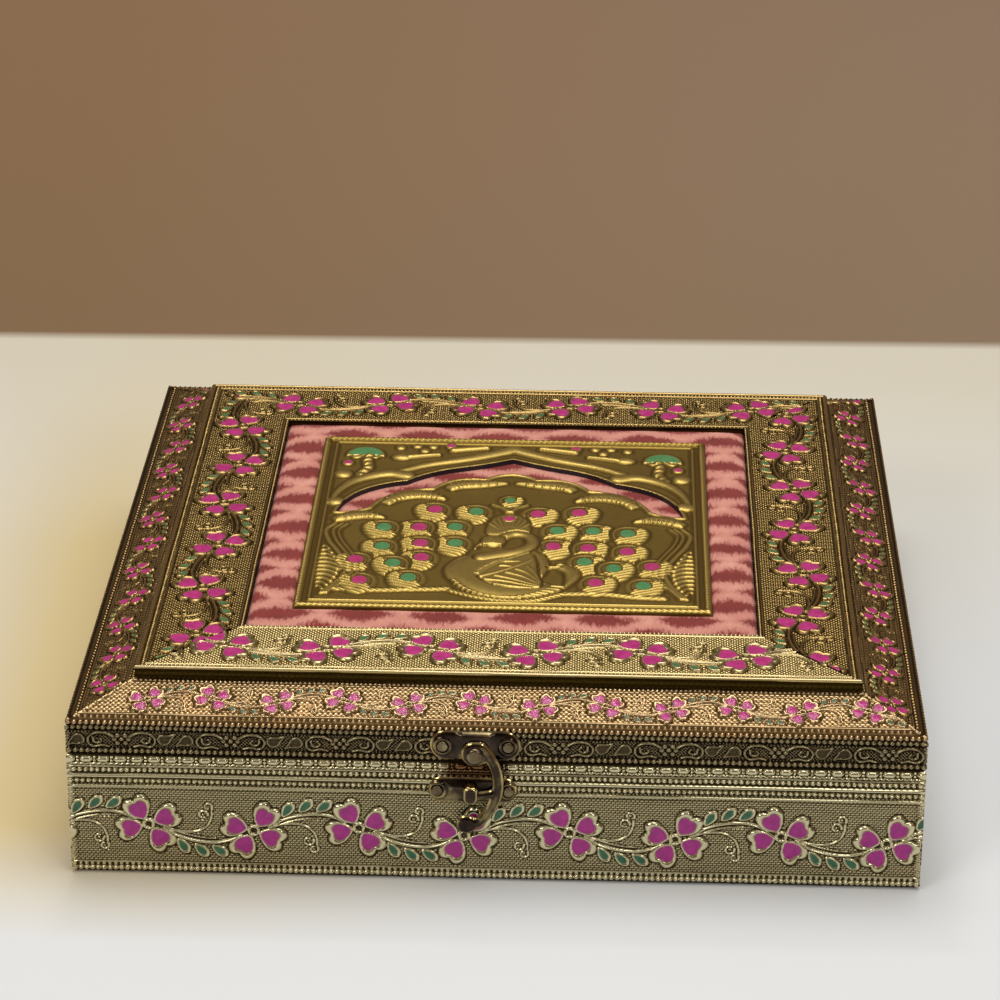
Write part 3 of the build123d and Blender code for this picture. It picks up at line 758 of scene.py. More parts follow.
# Upright rim of the lid: scrolls and leaves between two rows of beads
rim_rows = profile([(fold, lid_foot), (relief, lid_foot), (relief, rail_foot)])
rim = Relief(columns, rim_rows["z"] + level_rise * np.arange(len(rim_rows["z"])))
rim.y = rim.y + wobble(rim.x, 2.0, 0.05)
rim.lattice(42.5, 48.2, 0.74, 0.3)
rim.row(41.55, 0.82, 1.8, 0.95)
rim.row(49.25, 0.8, 1.8, 0.85, phase=0.3)
for level in (42.75, 47.95):
    rim.row(level, 0.26, 1.0, 0.3)
rim_period = 32.3
rim_first = -97.6
rim_middle = 45.3
rim_mirror = 39.0
scroll = [
    (17.0, 1.0), (14.6, 2.2), (11.6, 2.1), (9.7, 0.6), (9.7, -1.2), (11.2, -2.4), (13.6, -1.9), (15.9, -2.4)
]
inner_scroll = [(11.0, 0.6), (11.3, -0.8), (12.6, -1.2), (13.6, -0.4), (12.9, 0.5)]
drop_leaf = [
    (-2.0, 0.0), (-1.5, 1.2), (0.2, 1.6), (1.6, 1.5), (3.0, 1.9), (2.0, 0.4), (1.1, -1.0), (-0.7, -1.6)
]
rim_dots = [(18.3, 1.2), (20.7, 1.2), (17.4, 0.0), (19.5, 0.0), (21.6, 0.0), (18.3, -1.3), (20.7, -1.3)]
for ox in (rim_first + repeat * rim_period for repeat in range(-1, 7)):
    for run, width, height, end_width in ((scroll, 0.85, 0.7, 0.55), (inner_scroll, 0.7, 0.6, 0.5)):
        for points in (run, [(rim_mirror - x, y) for x, y in run]):
            placed = [(ox + x, rim_middle + y) for x, y in points]
            rim.strand(placed, width, height, end_width, 6)
    for cx, sign in ((0.0, 1), (6.4, -1)):
        edge = curve([(ox + cx + sign * x, rim_middle + sign * y) for x, y in drop_leaf], 5, closed=True)
        rim.shape(edge, 0.2, 0.7)
        rim.strand(np.vstack([edge, edge[:1]]), 0.45, 0.5, ready=True)
    for x, y in rim_dots:
        rim.dome(ox + x, rim_middle + y, 0.75, height=0.55)
rim.settle(0.35, 0.18)
rim.h = np.clip(rim.h + 0.7 * smooth(125.2, 126.9, np.abs(rim.x)), -0.3, 0.98)
rim.h[rim_rows["leg"] != 1] = 0.0
lay_strip("rim_foil", columns, rim_rows, dict.fromkeys(SIDES, rim), "lid", (dark_foil, "dark_foil"))


def border_level(inward):
    return rim_top - relief + border_rise * inward / border_width


# Sloping border: a beaded rail on the outer edge, then the garland up to the frame
rail_face = 0.78
rail_start = rail_foot + 0.03
border_rows = profile(
    [
        (fold, rail_start),
        (rail_face, rail_start),
        (rail_face, 51.45),
        (1.25, 51.62),
        (2.2, border_level(2.2)),
        (frame_face, border_level(frame_face)),
    ]
)
border_legs = (-50.0, -40.0, -30.0, -20.0, 2.2)
border_garland_starts = {"front": -84.1, "right": -92.1, "back": -103.5, "left": -105.2}


def make_border(start):
    """One side's border, with its first flower at the given place."""
    border = Relief(columns, leg_runs(border_rows, border_legs))
    border.y = border.y + wobble(border.x + start, 3.0, 0.06) * (border.y > 0)
    border.dashes(4.6, 18.3, 1.6, 0.9, 0.24, 1.5, 0.09)
    border.row(3.0, 0.42, 1.8, 0.45, 0.5, 0.3)
    border.rail(4.1, 0.45, 0.3)
    border.row(18.6, 0.4, 1.4, 0.35, 0.55)
    border.row(border_legs[1] + 0.62, 0.66, 1.8, 0.74, 0.7)
    garland(border, start, border_flower_pitch, 0.6, 10.6, 0.5, 0.85, fill=1.1)
    border.settle(0.3, 0.14)
    from_mitre = half_side - border_rows["inward"][:, None] - np.abs(border.x)
    crinkle = 0.5 + 0.3 * np.sin(1.9 * border.x + start) * np.sin(4.3 * border.x)
    fold_line = crinkle * np.clip(1.0 - (from_mitre / 0.75) ** 2, 0.0, 1.0)
    border.h = np.maximum(border.h, np.where(fold_line > 0, fold_line, -1.0))
    border.h[np.isin(border_rows["leg"], (0, 3))] = 0.0
    border.h = np.clip(border.h, -0.25, 0.85)
    return border


# The border's sides other than the front take its painted-shade copy of the foil.
lay_strip(
    "border_foil", columns, border_rows,
    {side: make_border(start) for side, start in border_garland_starts.items()}, "lid",
    (border_finish, "embossed_foil"), (shaded_border_finish, "embossed_foil"),
)

# Raised frame: a dark beaded wall, the garland on top and a lip down to the velvet
frame_rows = profile(
    [(frame_face, 56.2), (frame_face, 59.25), (18.3, frame_ground), (48.3, frame_ground), (48.3, 57.4)],
    1.1 * step_row,
)
frame_half = 109.2
frame_columns = np.arange(-frame_half, frame_half + 0.5 * step_x, step_x)
frame_legs = (-30.0, -20.0, 0.0, 40.0)
frame_garland_starts = {"front": -83.4, "right": -67.2, "back": -113.0, "left": -103.5}


def make_frame(start):
    """One side's frame, with its first flower at the given place."""
    top = Relief(frame_columns, leg_runs(frame_rows, frame_legs))
    top.y = top.y + wobble(top.x + start, 4.0, 0.06) * (top.y > 0)
    top.lattice(3.9, 28.6, 1.06, 0.3)
    top.rail(0.95, 1.5, 0.8)
    top.row(2.45, 0.55, 1.25, 0.65)
    top.rail(3.4, 0.55, 0.5)
    top.row(29.5, 0.42, 1.3, 0.6, 0.5)
    top.rail(28.6, 0.4, 0.4)
    garland(top, start, frame_flower_pitch, 1.03, 15.6, 0.8, 0.95, 1.08, 1.08)
    top.settle(0.38, 0.2)
    top.row(frame_legs[0] + 1.6, 0.8, bead_pitch, 0.22)
    top.dull[frame_rows["leg"] == 0] = 0.18
    top.h = np.clip(top.h, -0.25, 0.97)
    top.h[frame_rows["leg"] == 3] = 0.0
    return top


# The frame's sides other than the front take its painted-shade copy of the foil.
lay_strip(
    "frame_foil", frame_columns, frame_rows,
    {side: make_frame(start) for side, start in frame_garland_starts.items()}, "lid",
    (frame_finish, "embossed_foil"), (frame_side_finish, "embossed_foil"),
)

# Plaque: an embossed sheet with a pointed arch cut through it and a peacock under the arch
plaque_half = 64.95
plaque_level = 59.55
plaque_limit = 1.12
skirt_foot = 58.5
shaded_from = 59.6
pink_eyes = [
    (-24.4, 7.8), (-28.9, -6.0), (-27.8, -18.1), (-27.0, -28.5), (-47.8, -30.9), (-45.6, -45.7), (9.3, 5.5),
    (22.7, 7.0), (14.8, -18.8), (25.9, -19.6), (38.4, -21.7), (46.3, -32.5), (28.5, -44.7),
]
green_eyes = [
    (-10.9, 6.6), (-17.2, -5.4), (-40.3, -6.5), (-40.0, -20.8), (-16.7, -17.6), (-35.8, -33.0),
    (-30.3, -43.3), (15.8, -6.9), (27.5, -6.8), (38.6, -8.1), (24.9, -29.8), (34.2, -34.1), (43.5, -46.2),
]
arch_corners = [(56.8, 5.0), (34.8, 30.0), (16.5, 41.6), (0.0, 48.9)]
arch_bows = [-5.5, -1.5, 0.3]
scallop_corners = [(0.0, 37.2), (8.6, 32.7), (26.2, 24.6), (46.2, 8.8), (56.0, 4.8)]
scallop_bows = [1.0, 3.3, 4.0, -1.0]


def bowed(corners, bows, steps=10):
    """A run of shallow arcs from corner to corner, each bowed to the left by its own amount."""
    made = []
    for (ax, ay), (bx, by), bow in zip(corners[:-1], corners[1:], bows):
        size = math.hypot(bx - ax, by - ay)
        nx, ny = -(by - ay) / size, (bx - ax) / size
        for k in range(steps):
            t = k / steps
            lift = bow * 4 * t * (1 - t)
            made.append((ax + (bx - ax) * t + nx * lift, ay + (by - ay) * t + ny * lift))
    made.append(corners[-1])
    return made


arch_run = bowed(arch_corners, arch_bows)
scallop_run = bowed(scallop_corners, scallop_bows)
slot_outline = np.array(
    arch_run
    + [(-x, y) for x, y in reversed(arch_run[:-1])]
    + [(-x, y) for x, y in reversed(scallop_run)]
    + scallop_run[1:]
)


def both(points):
    """A run and its mirror image."""
    return [points, [(-x, y) for x, y in points]]


lines = np.linspace(-plaque_half, plaque_half, int(round(2 * plaque_half / step_plaque)) + 1)
sheet = Relief(lines, lines)
sheet.h += 0.05 * np.sin(sheet.x / 7.0) * np.sin(sheet.y / 9.0)
slot_gap = ring_distance(sheet.x, sheet.y, slot_outline)


def strands(run, width, height, end_width=None):
    """A strand on the plaque and its mirror image."""
    for points in both(run):
        sheet.strand(points, width, height, end_width)


def jewel(cx, cy, radius, share, lip, level, steps):
    """A round enamelled cell on the plaque."""
    ring = arc(cx, cy, radius, 0, 360, steps)[:-1]
    sheet.cell(ring, (ring - (cx, cy)) * share + (cx, cy), lip, level, "pink")


# The fan's scales, from the top down
sheet.moat = 0.4
scales = [(x, y, "pink") for x, y in pink_eyes] + [(x, y, "green") for x, y in green_eyes]
for x, y, colour in sorted(scales, key=lambda eye: -eye[1]):
    sheet.scale(x, y, colour)
sheet.moat = 0.0

# Clouds under the arch with bars across them, then the lobes and knobs over it
for run, width in (
    ([(57.2, -1.6), (51.5, 1.8), (46.2, 2.6), (40.4, 0.8)], 2.9),
    ([(41.2, 11.6), (37.4, 17.0), (31.6, 19.4), (26.0, 18.4), (21.2, 15.8)], 3.3),
    ([(21.0, 24.0), (16.8, 27.6), (9.4, 28.6), (1.2, 29.6)], 3.1),
):
    for points in both(run):
        middle = curve(points, 6)
        side_step = np.gradient(middle, axis=0)
        side_step /= np.hypot(side_step[:, 0], side_step[:, 1])[:, None]
        swell = width * np.sin(math.pi * np.linspace(0.06, 0.97, len(middle)) ** 0.8)[:, None] ** 0.6
        off = np.stack([-side_step[:, 1], side_step[:, 0]], 1) * swell
        sheet.shape(np.vstack([middle + off, (middle - off)[::-1]]), 1.0, 3.6)
        for k in range(3, len(middle) - 2, 2):
            a, b = middle[k] + 0.75 * off[k], middle[k] - 0.75 * off[k]
            sheet.strand([a, b], 0.9, 1.06, 0.7)
for run, width, end_width in (
    ([(59.0, 12.0), (57.2, 20.6), (53.2, 28.2), (47.6, 33.2), (41.2, 35.8), (35.2, 34.4)], 2.0, 5.6),
    ([(37.4, 37.8), (28.2, 43.6), (14.8, 49.0), (3.8, 54.8), (0.0, 57.2)], 2.6, 5.0),
    ([(20.6, 55.8), (14.9, 57.0), (9.2, 58.2)], 3.4, 2.4),
    ([(35.0, 49.6), (30.0, 50.8), (25.2, 51.8)], 2.8, 1.4),
):
    strands(run, width, 1.0, end_width)
for cx, cy, rx, ry, height in (
    (57.4, 12.8, 3.4, 3.0, 1.0), (56.6, 34.8, 3.3, 3.0, 1.0), (37.8, 49.4, 3.6, 2.4, 1.0),
    (30.3, 55.2, 1.8, 1.7, 0.65), (38.6, 57.4, 1.8, 1.7, 0.65), (27.6, 58.6, 1.8, 1.7, 0.65),
    (33.0, 58.8, 1.8, 1.7, 0.65),
):
    for side in (1, -1):
        sheet.dome(side * cx, cy, rx, ry, height)

# Two trees in the upper corners, and round jewels
trunk_run = ((1.4, 0.6), (1.0, 5.4), (1.6, 10.2), (-0.7, 15.6))
for cx, base, sign in ((-50.2, 50.5, -1), (50.4, 48.6, 1)):
    crown = np.vstack([arc(cx, base, 6.6, -8, 188, 20), [(cx - 3.0, base - 0.4), (cx + 3.0, base - 0.4)]])
    middle = np.array([cx, base + 2.0])
    sheet.cell(crown, (crown - middle) * 0.86 + middle, 0.75, 0.5, "green", 0.1)
    trunk = [(cx - sign * off, base - drop) for off, drop in trunk_run]
    sheet.ribbed(trunk, 3.8, 0.95, 3.3, 0.2)
    for lean in (-1, 1):
        bough = [(cx, base + 1.0), (cx + 3.0 * lean, base - 2.0), (cx + 5.0 * lean, base - 0.6)]
        sheet.strand(bough, 2.0, 0.6, 1.0)
for cx, cy in ((-55.7, 44.0), (55.5, 42.3), (-21.5, 59.1), (21.0, 58.5)):
    jewel(cx, cy, 2.0, 0.75, 0.6, 0.45, 18)

# Columns beside the fan, with barbs on their outer side
column = [
    (56.3, -4.3), (58.8, -9.5), (57.4, -17.0), (54.0, -25.0), (51.2, -32.5), (50.6, -40.0), (53.0, -48.0),
    (57.0, -55.0),
]
for shift, width in ((0.0, 1.9), (2.6, 1.3), (4.6, 1.0)):
    strands([(x - shift * (0.9 if y > -45 else 0.4), y) for x, y in column], width, 0.6)
for k in range(11):
    y = -22.0 - 2.9 * k
    swell = math.sin(math.pi * (k + 1.2) / 12.5)
    x = 57.9 - 1.6 * math.sin(k / 3.2)
    strands([(x - 3.2 * swell, y - 1.6), (x, y + 0.4), (x + 3.0 * swell, y + 0.6)], 1.9, 0.7, 1.2)

# A bud over the crest
sheet.strand([(0.2, 10.0), (0.1, 3.0)], 2.0, 0.7, 3.4)
strands([(0.4, 6.5), (2.6, 9.6), (5.8, 12.2)], 2.4, 0.85, 1.3)
sheet.scale(-0.1, 15.8, "green", 0.8)

# The bird stands over its fan, so each part clears a moat round itself
bird_moat = 0.55
sheet.moat = bird_moat
crest_edge = [(-7.0, -9.8), (-5.6, 1.5), (0.0, 5.6), (5.6, 2.0), (7.0, -8.4), (0.0, -10.5)]
sheet.shape(curve(crest_edge, 6, closed=True), 0.42, 2.2)
sheet.moat = 0.0
for lean in range(-4, 5):
    a = math.radians(90 - 15 * lean)
    foot = (0.2 + 3.6 * math.cos(a), -8.5 + 3.6 * math.sin(a))
    tip = (0.2 + 7.4 * math.cos(a), -8.5 + 11.6 * math.sin(a))
    sheet.strand([foot, tip], 0.6, 0.72, 1.2)
jewel(0.1, 1.0, 2.4, 0.8, 0.8, 0.62, 20)
sheet.moat = bird_moat
tail_scales = [
    [
        (8.4, -22.4), (12.1, -26.1), (13.9, -32.8), (12.9, -38.4), (10.4, -42.9), (9.6, -37.4), (9.4, -31.9),
        (7.0, -27.5),
    ],
    [
        (17.3, -31.0), (22.3, -35.2), (23.9, -40.1), (22.1, -44.8), (18.6, -49.1), (18.9, -43.6),
        (18.3, -38.1), (15.6, -34.3),
    ],
]
for edge in tail_scales:
    sheet.shape(curve(edge, 5, closed=True), 0.85, 2.2)
sheet.strand([(14.0, -34.4), (17.2, -33.8)], 1.6, 0.8, 1.0)
body_edge = [
    (-3.2, -25.2), (-9.4, -25.4), (-15.2, -28.3), (-19.3, -35.2), (-18.6, -42.4), (-14.2, -49.0),
    (-8.0, -53.8), (-1.2, -56.6), (6.9, -56.6), (13.0, -54.4), (18.4, -50.0), (14.0, -46.0), (8.0, -40.0),
    (4.0, -32.0),
]
sheet.shape(curve(body_edge, 5, closed=True), 1.0, 5.5)
wing_edge = [
    (-8.9, -40.2), (-3.2, -32.6), (2.2, -27.4), (7.4, -24.2), (9.6, -30.0), (10.4, -38.5), (11.8, -48.6),
    (5.8, -50.4), (-1.4, -49.2), (-6.4, -45.8),
]
sheet.shape(curve(wing_edge, 5, closed=True), 0.72, 1.4)
neck_run = [
    (-2.4, -13.2), (2.4, -9.8), (6.8, -12.0), (8.0, -17.6), (4.8, -22.2), (-0.8, -25.0), (-8.0, -28.0)
]
sheet.strand(neck_run, 3.6, 1.02, 5.4)
sheet.dome(-4.6, -15.6, 4.0, 4.3, height=1.0)
sheet.moat = 0.0
sheet.strand([(-7.4, -17.2), (-9.4, -19.2), (-10.2, -21.4)], 2.0, 0.8, 0.5)
sheet.strand([(-7.6, -18.8), (-4.8, -18.0), (-2.0, -18.6)], 1.3, 1.1, 1.1)
sheet.dome(-5.2, -14.6, 0.8, height=1.12)
for points, width in (
    ([(-8.8, -40.0), (-3.2, -33.0), (2.2, -27.9), (7.2, -24.2)], 1.9),
    ([(-7.7, -42.4), (-1.8, -38.6), (5.3, -32.8), (8.6, -29.0)], 1.6),
    ([(-6.4, -44.4), (0.5, -45.6), (6.0, -47.6), (11.0, -49.0)], 1.5),
    ([(-3.2, -41.6), (3.2, -44.2), (7.6, -46.6), (11.0, -48.2)], 1.3),
    ([(0.2, -39.2), (5.4, -41.8), (8.8, -44.8), (11.0, -47.4)], 1.2),
    ([(3.2, -36.6), (7.0, -39.4), (9.6, -43.2), (11.2, -46.6)], 1.1),
    ([(6.6, -34.2), (9.2, -38.8), (11.2, -45.4)], 1.0),
    ([(-3.4, -47.6), (2.4, -49.0), (8.4, -49.8)], 1.2),
    ([(-1.8, -34.4), (2.4, -34.6)], 1.2),
    ([(-0.4, -31.4), (4.6, -30.8)], 1.2),
):
    sheet.strand(points, width, 1.1, 0.6 * width)

# Short feathers round the body's lower side, and the ground under the bird
for t in np.linspace(0.0, 1.0, 19):
    a = math.radians(205 + 118 * t)
    x, y = 1.2 + 19.4 * math.cos(a), -37.6 + 19.6 * math.sin(a)
    sheet.strand([(x - 1.76 * t, y + 0.9), (x + 1.98, y - 0.6 + 1.5 * t)], 1.5, 1.05, 0.8)
sheet.ribbed([(-53.5, -51.8), (-42.0, -52.4), (-30.0, -51.6), (-17.4, -50.6)], 2.6, 0.75, 2.1, 0.8)
sheet.ribbed([(50.0, -54.6), (40.4, -54.0), (30.2, -52.2), (19.0, -52.6)], 2.6, 0.75, 2.1, -0.8)
sheet.ribbed([(-17.0, -51.6), (-9.0, -55.6), (0.0, -58.0), (9.5, -57.8), (18.4, -53.0)], 2.2, 0.7, 1.7, 0.8)
sheet.strand([(-60.2, -60.3), (60.2, -60.3)], 1.2, 0.7, steps=1)
for x in (-60.4, 60.4):
    sheet.strand([(x, -60.3), (x, 60.6)], 1.1, 0.55, steps=1)
sheet.strand([(-60.2, 61.0), (60.2, 61.0)], 1.0, 0.5, steps=1)
for quarter in range(4):
    c, n = round(math.cos(quarter * math.pi / 2)), round(math.sin(quarter * math.pi / 2))
    rope = [(x * c + 63.7 * n, x * n - 63.7 * c) for x in (-63.7, 0.0, 63.7)]
    sheet.ribbed(rope, 2.3, 1.08, 1.9, 0.9, 0.3, 60)
# Painted shade: the rubbed-bright layer along the plaque's back strip is halved, so it reads darker.
sheet.dull[lines > shaded_from] = 0.5
sheet.settle(0.5, 0.1)
lip_of_slot = np.clip(1.0 - np.abs(slot_gap - 0.5) / 0.9, 0.0, 1.0)
sheet.h = np.maximum(sheet.h, 0.5 * np.sqrt(lip_of_slot) * (slot_gap > -0.5))
sheet.h = np.clip(sheet.h, -0.2, plaque_limit)

# Grid points next to the cut slide onto it, so that the slot has clean edges
slid_x, slid_y, _, plaque_keep = trimmed(sheet.x, sheet.y, lines, lines, -slot_gap, step_plaque, 0.3)
plaque_points = np.stack([slid_x, slid_y, plaque_level + sheet.h], -1)


def with_skirt(grid):
    """The grid with one more line all round, for the skirt that turns down at the outer edge."""
    return np.pad(grid, ((1, 1), (1, 1)) + ((0, 0),) * (grid.ndim - 2), mode="edge")


skirted = with_skirt(plaque_points)
for edge in (skirted[0], skirted[-1], skirted[:, 0], skirted[:, -1]):
    edge[..., 2] = skirt_foot
lay_tiles(
    "plaque_sheet_relief", "", "plaque_sheet", skirted, np.pad(plaque_keep, 1, constant_values=True),
    [with_skirt(layer) for layer in sheet.layers()], plaque_foil, "lid", "plaque_foil",
)


# Latch hardware, pressed from sheet: heights stand out from the front of the box
front_plane = -127.0
latch_x, latch_z = -5.8, 44.4
plate_level = 46.2
catch_x, catch_level = -6.5, 31.3
bronze_foil = foil(
    "pressed_bronze", ((0.008, 0.005, 0.006), (0.052, 0.038, 0.027), (0.50, 0.39, 0.17)), 0.1, 0.2, 0.15,
    clouds=(85.0, 1.25),
)
unseen_side = 0.3
plate_reach = 14.0


def capsule(x, y, start, end, radius):
    """Signed distance to a rounded bar."""
    return run_distance(x, y, np.array([start, end]))[0] - radius


def through(ax, ay, bx, by, cx, cy):
    """A round arc from the first to the last point by way of the middle one."""
    d = 2 * (ax * (by - cy) + bx * (cy - ay) + cx * (ay - by))
    ux = ((ax**2 + ay**2) * (by - cy) + (bx**2 + by**2) * (cy - ay) + (cx**2 + cy**2) * (ay - by)) / d
    uy = ((ax**2 + ay**2) * (cx - bx) + (bx**2 + by**2) * (ax - cx) + (cx**2 + cy**2) * (bx - ax)) / d
    start, mid, end = (math.atan2(q - uy, p - ux) for p, q in ((ax, ay), (bx, by), (cx, cy)))
    sweep = (end - start + math.pi) % (2 * math.pi) - math.pi
    half = (mid - start + math.pi) % (2 * math.pi) - math.pi
    if sweep * half < 0:
        sweep -= math.copysign(2 * math.pi, sweep)
    return arc(ux, uy, math.hypot(ax - ux, ay - uy), math.degrees(start), math.degrees(start + sweep), 28)


def pressed(name, low, high, distance_of, front_of, back_of, body, node=None):
    """A closed piece over an outline on the box's front.

    front_of and back_of give how far each face stands out."""
    nx = int(round((high[0] - low[0]) / hardware_step)) + 1
    nz = int(round((high[1] - low[1]) / hardware_step)) + 1
    xs, zs = np.linspace(low[0], high[0], nx), np.linspace(low[1], high[1], nz)
    x, z = np.meshgrid(xs, zs)
    d = distance_of(x, z)
    x2, z2, close, keep = trimmed(x, z, xs, zs, d, hardware_step, 0.4)
    d2 = np.where(close, 0.0, d)
    front, back = front_of(x2, z2, d2), back_of(x2, z2, d2)
    front = np.where(d2 >= 0, back, front)
    quads = grid_index(nz, nx)[1][keep]
    faces = np.concatenate([quads, quads[:, ::-1] + nx * nz])
    points = np.concatenate(
        [np.stack([x2, front_plane - face, z2], -1).reshape(-1, 3) for face in (front, back)]
    )
    used, flat = np.unique(faces, return_inverse=True)
    mesh = bpy.data.meshes.new(name)
    mesh.from_pydata((points[used] * MM).tolist(), [], flat.reshape(-1, 4).tolist())
    mesh.shade_smooth()
    mean = blurred(front, [max(1, int(round(0.6 / hardware_step)))] * 2)
    rubbed = np.clip(0.34 + 1.3 * (front - mean) + 0.45 * smooth(-0.9, -0.15, d2), 0.0, 1.0)
    store_layers(mesh, [np.concatenate([rubbed.ravel(), np.full(nx * nz, unseen_side)])[used]])
    mesh.validate()
    place(mesh, name, bronze_foil, body, "antique_bronze", node)


def rounded(d, depth, edge):
    """A sheet's face with its edge rolled over."""
    t = np.clip(1.0 + d / edge, 0.0, 1.0)
    return depth * (1.0 - t * t) ** 0.8


def collar(x, z, cx, cz, radius=2.35, wide=0.75, rise=0.34):
    """A raised ring round a nail."""
    t = np.clip(np.abs(np.hypot(x - cx, z - cz) - radius) / wide, 0.0, 1.0)
    return rise * np.cos(t * math.pi / 2)


def wall_side(x, z, d):
    return np.zeros_like(x) + 0.02


def pressed_plate(kind, body, cx, level, half_bar, radius, reach_z, nail_off, depth, edge, most, boss):
    """A rounded plate with a boss in its middle and a raised ring round each of its two nails."""

    def distance(x, z):
        return capsule(x, z, (cx - half_bar, level), (cx + half_bar, level), radius)

    def face(x, z, d):
        made = rounded(d, depth, edge) + boss(x - cx, z - level, d)
        for nail_x in (cx - nail_off, cx + nail_off):
            made = made + collar(x, z, nail_x, level) * smooth(0.0, 0.8, -d)
        return np.minimum(made, most)

    low, high = (cx - plate_reach, level - reach_z), (cx + plate_reach, level + reach_z)
    pressed(kind + "_relief", low, high, distance, face, wall_side, body, kind)


def latch_boss(x, z, d):
    return 0.85 * (smooth(6.6, 3.6, np.abs(x)) * smooth(0.0, 1.2, -d))


def catch_boss(x, z, d):
    ridge = z - 1.1 * np.tanh(-x / 2.6)
    return 0.75 * np.exp(-((ridge / 1.7) ** 2)) * smooth(8.4, 6.2, np.abs(x)) * smooth(0.0, 1.4, -d)


pressed_plate("latch_plate", "lid", latch_x, plate_level, 8.4, 4.95, 5.6, 9.7, 0.85, 2.6, 1.82, latch_boss)
pressed_plate("catch_plate", "box", catch_x, catch_level, 8.95, 4.25, 5.0, 10.6, 0.8, 2.4, 1.8, catch_boss)

# The hook: a bowed arm from its rivet, a lobe that goes behind the tongue, and a toe
hook_arm = np.vstack(
    [through(1.6, 2.2, 6.8, -9.2, 2.0, -21.8), through(2.0, -21.8, -0.6, -23.4, -2.6, -22.6)]
)
hook_back, hook_front = 1.92, 3.1


def hook_distance(x, z):
    u, v = x - latch_x, z - latch_z
    along, _ = run_distance(u, v, hook_arm)
    ring = np.hypot(u, v) - 4.2
    lobe = capsule(u, v, (5.4, -13.2), (0.6, -14.0), 1.45)
    toe = np.hypot(u + 2.4, v + 23.6) - 3.1
    parts = [along - 1.7, ring, lobe, toe]
    return -0.35 * np.log(sum(np.exp(-np.clip(part, -4, 4) / 0.35) for part in parts))


def hook_face(x, z, d):
    return hook_back + 0.25 + rounded(d, hook_front - hook_back - 0.2, 2.0)


def hook_rear(x, z, d):
    return np.where(d >= 0, hook_back + 0.25, hook_back + 0.25 - rounded(d, 0.25, 0.5))


pressed(
    "latch_hook_relief", (latch_x - 7, latch_z - 28), (latch_x + 9.6, latch_z + 5.4),
    hook_distance, hook_face, hook_rear, "hook", "latch_hook",
)

# The tongue stands out from the catch plate and turns down in front of the hook's lobe
tongue_middle = latch_x - 1.3
tongue_top, tongue_foot = latch_z - 9.8, latch_z - 16.2
tongue_round = 2.15


def tongue_distance(x, z):
    start, end = (tongue_middle, tongue_top - tongue_round), (tongue_middle, tongue_foot + tongue_round)
    return capsule(x, z, start, end, tongue_round)


def tongue_face(x, z, d):
    bend = np.sqrt(np.clip(1.0 - (1.0 - np.clip((tongue_top - z) / 1.5, 0, 1)) ** 2, 0, 1))
    crown = 3.6 + rounded(d, 0.8, 2.1)
    return 0.6 + (crown - 0.6) * np.maximum(bend, 0.05)


def tongue_rear(x, z, d):
    return np.where(z > tongue_top - 1.05, 0.5, 3.42)


pressed(
    "catch_tongue_relief", (tongue_middle - 2.9, tongue_foot - 0.6), (tongue_middle + 2.9, tongue_top + 0.6),
    tongue_distance, tongue_face, tongue_rear, "box",
)

# Materials of the parts that keep their solids


def grained(name, grain, stops, rough, bump=None, shade=None, fine=None, stain=None, **more):
    """A plain material. Its grain gives roughness, colour and bump, where shade and fine don't."""
    t = Tree(bpy.data.materials.new(name))
    surface = t.noise(*grain)
    colour = t.ramp(t.noise(*shade) if shade else surface, stops)
    if stain:
        colour = t.mix(t.span(t.noise(60.0, 3.0, 0.5), 0.3, 0.7, 0.0, 0.3), colour, stain)
    normal = t.bump(t.noise(*fine) if fine else surface, *bump) if bump else None
    return t.finish(colour, t.span(surface, *rough), normal, **more)


pile = (2600.0, 2.0, 0.6)
pile_rough = (0.2, 0.8, 1.0, 0.85)
weave_x, weave_y = 0.0254, 0.021
lens_half_x, lens_half_y = 0.0102, 0.0042
first_lens_x, first_lens_y = -0.0695, -0.0692


def velvet_material():
    """Salmon velvet with a dark red ikat: rows of feathered ovals, every other row moved by half a step."""
    t = Tree(bpy.data.materials.new("ikat_velvet"))
    stretched = t.add("ShaderNodeMapping", {0: t.at, "Scale": (1.0, 0.22, 1.0)}).outputs[0]
    threads = t.noise(1100.0, 3.0, 0.65, stretched)
    sway = t.swing(t.noise(60.0, 2.0, 0.5), 0.006)
    tug = t.swing(threads, 0.0075)
    part = t.parts(t.at)
    x, y = t.plus(part[0], sway), t.plus(part[1], t.plus(sway, tug))

    def folded(value, start, pitch, half_step):
        turns = t.over(t.minus(value, start), pitch)
        turns = t.math("FRACT", t.plus(turns, 20.5 + half_step))
        return t.times(t.math("ABSOLUTE", t.minus(turns, 0.5)), pitch)

    def lens(half_step):
        u = t.over(folded(x, first_lens_x, weave_x, half_step), lens_half_x)
        v = t.over(folded(y, first_lens_y, weave_y, half_step), lens_half_y)
        return t.minus(1.0, t.plus(t.times(u, u), v))

    ovals = t.math("MAXIMUM", lens(0.0), lens(0.5))
    tufts = t.noise(*pile)
    nap = t.span(t.noise(85.0, 3.0, 0.6), 0.3, 0.7)
    pale = t.mix(nap, (0.60, 0.225, 0.165), (0.78, 0.39, 0.285))
    pale = t.mix(t.span(ovals, -1.1, -0.2, 0.0, 0.55), pale, (0.50, 0.15, 0.135))
    pale = t.mix(t.span(tufts, 0.4, 0.8, 0.0, 0.22), pale, (0.80, 0.46, 0.38))
    red = t.mix(nap, (0.17, 0.014, 0.011), (0.26, 0.026, 0.019))
    colour = t.mix(t.span(ovals, -0.28, 0.3), pale, red)
    sheen = {"Sheen_Weight": 0.18, "Sheen_Roughness": 0.4, "Sheen_Tint": (1.0, 0.75, 0.7)}
    return t.finish(colour, t.span(tufts, *pile_rough), t.bump(tufts, 0.6, 0.0006), **sheen)


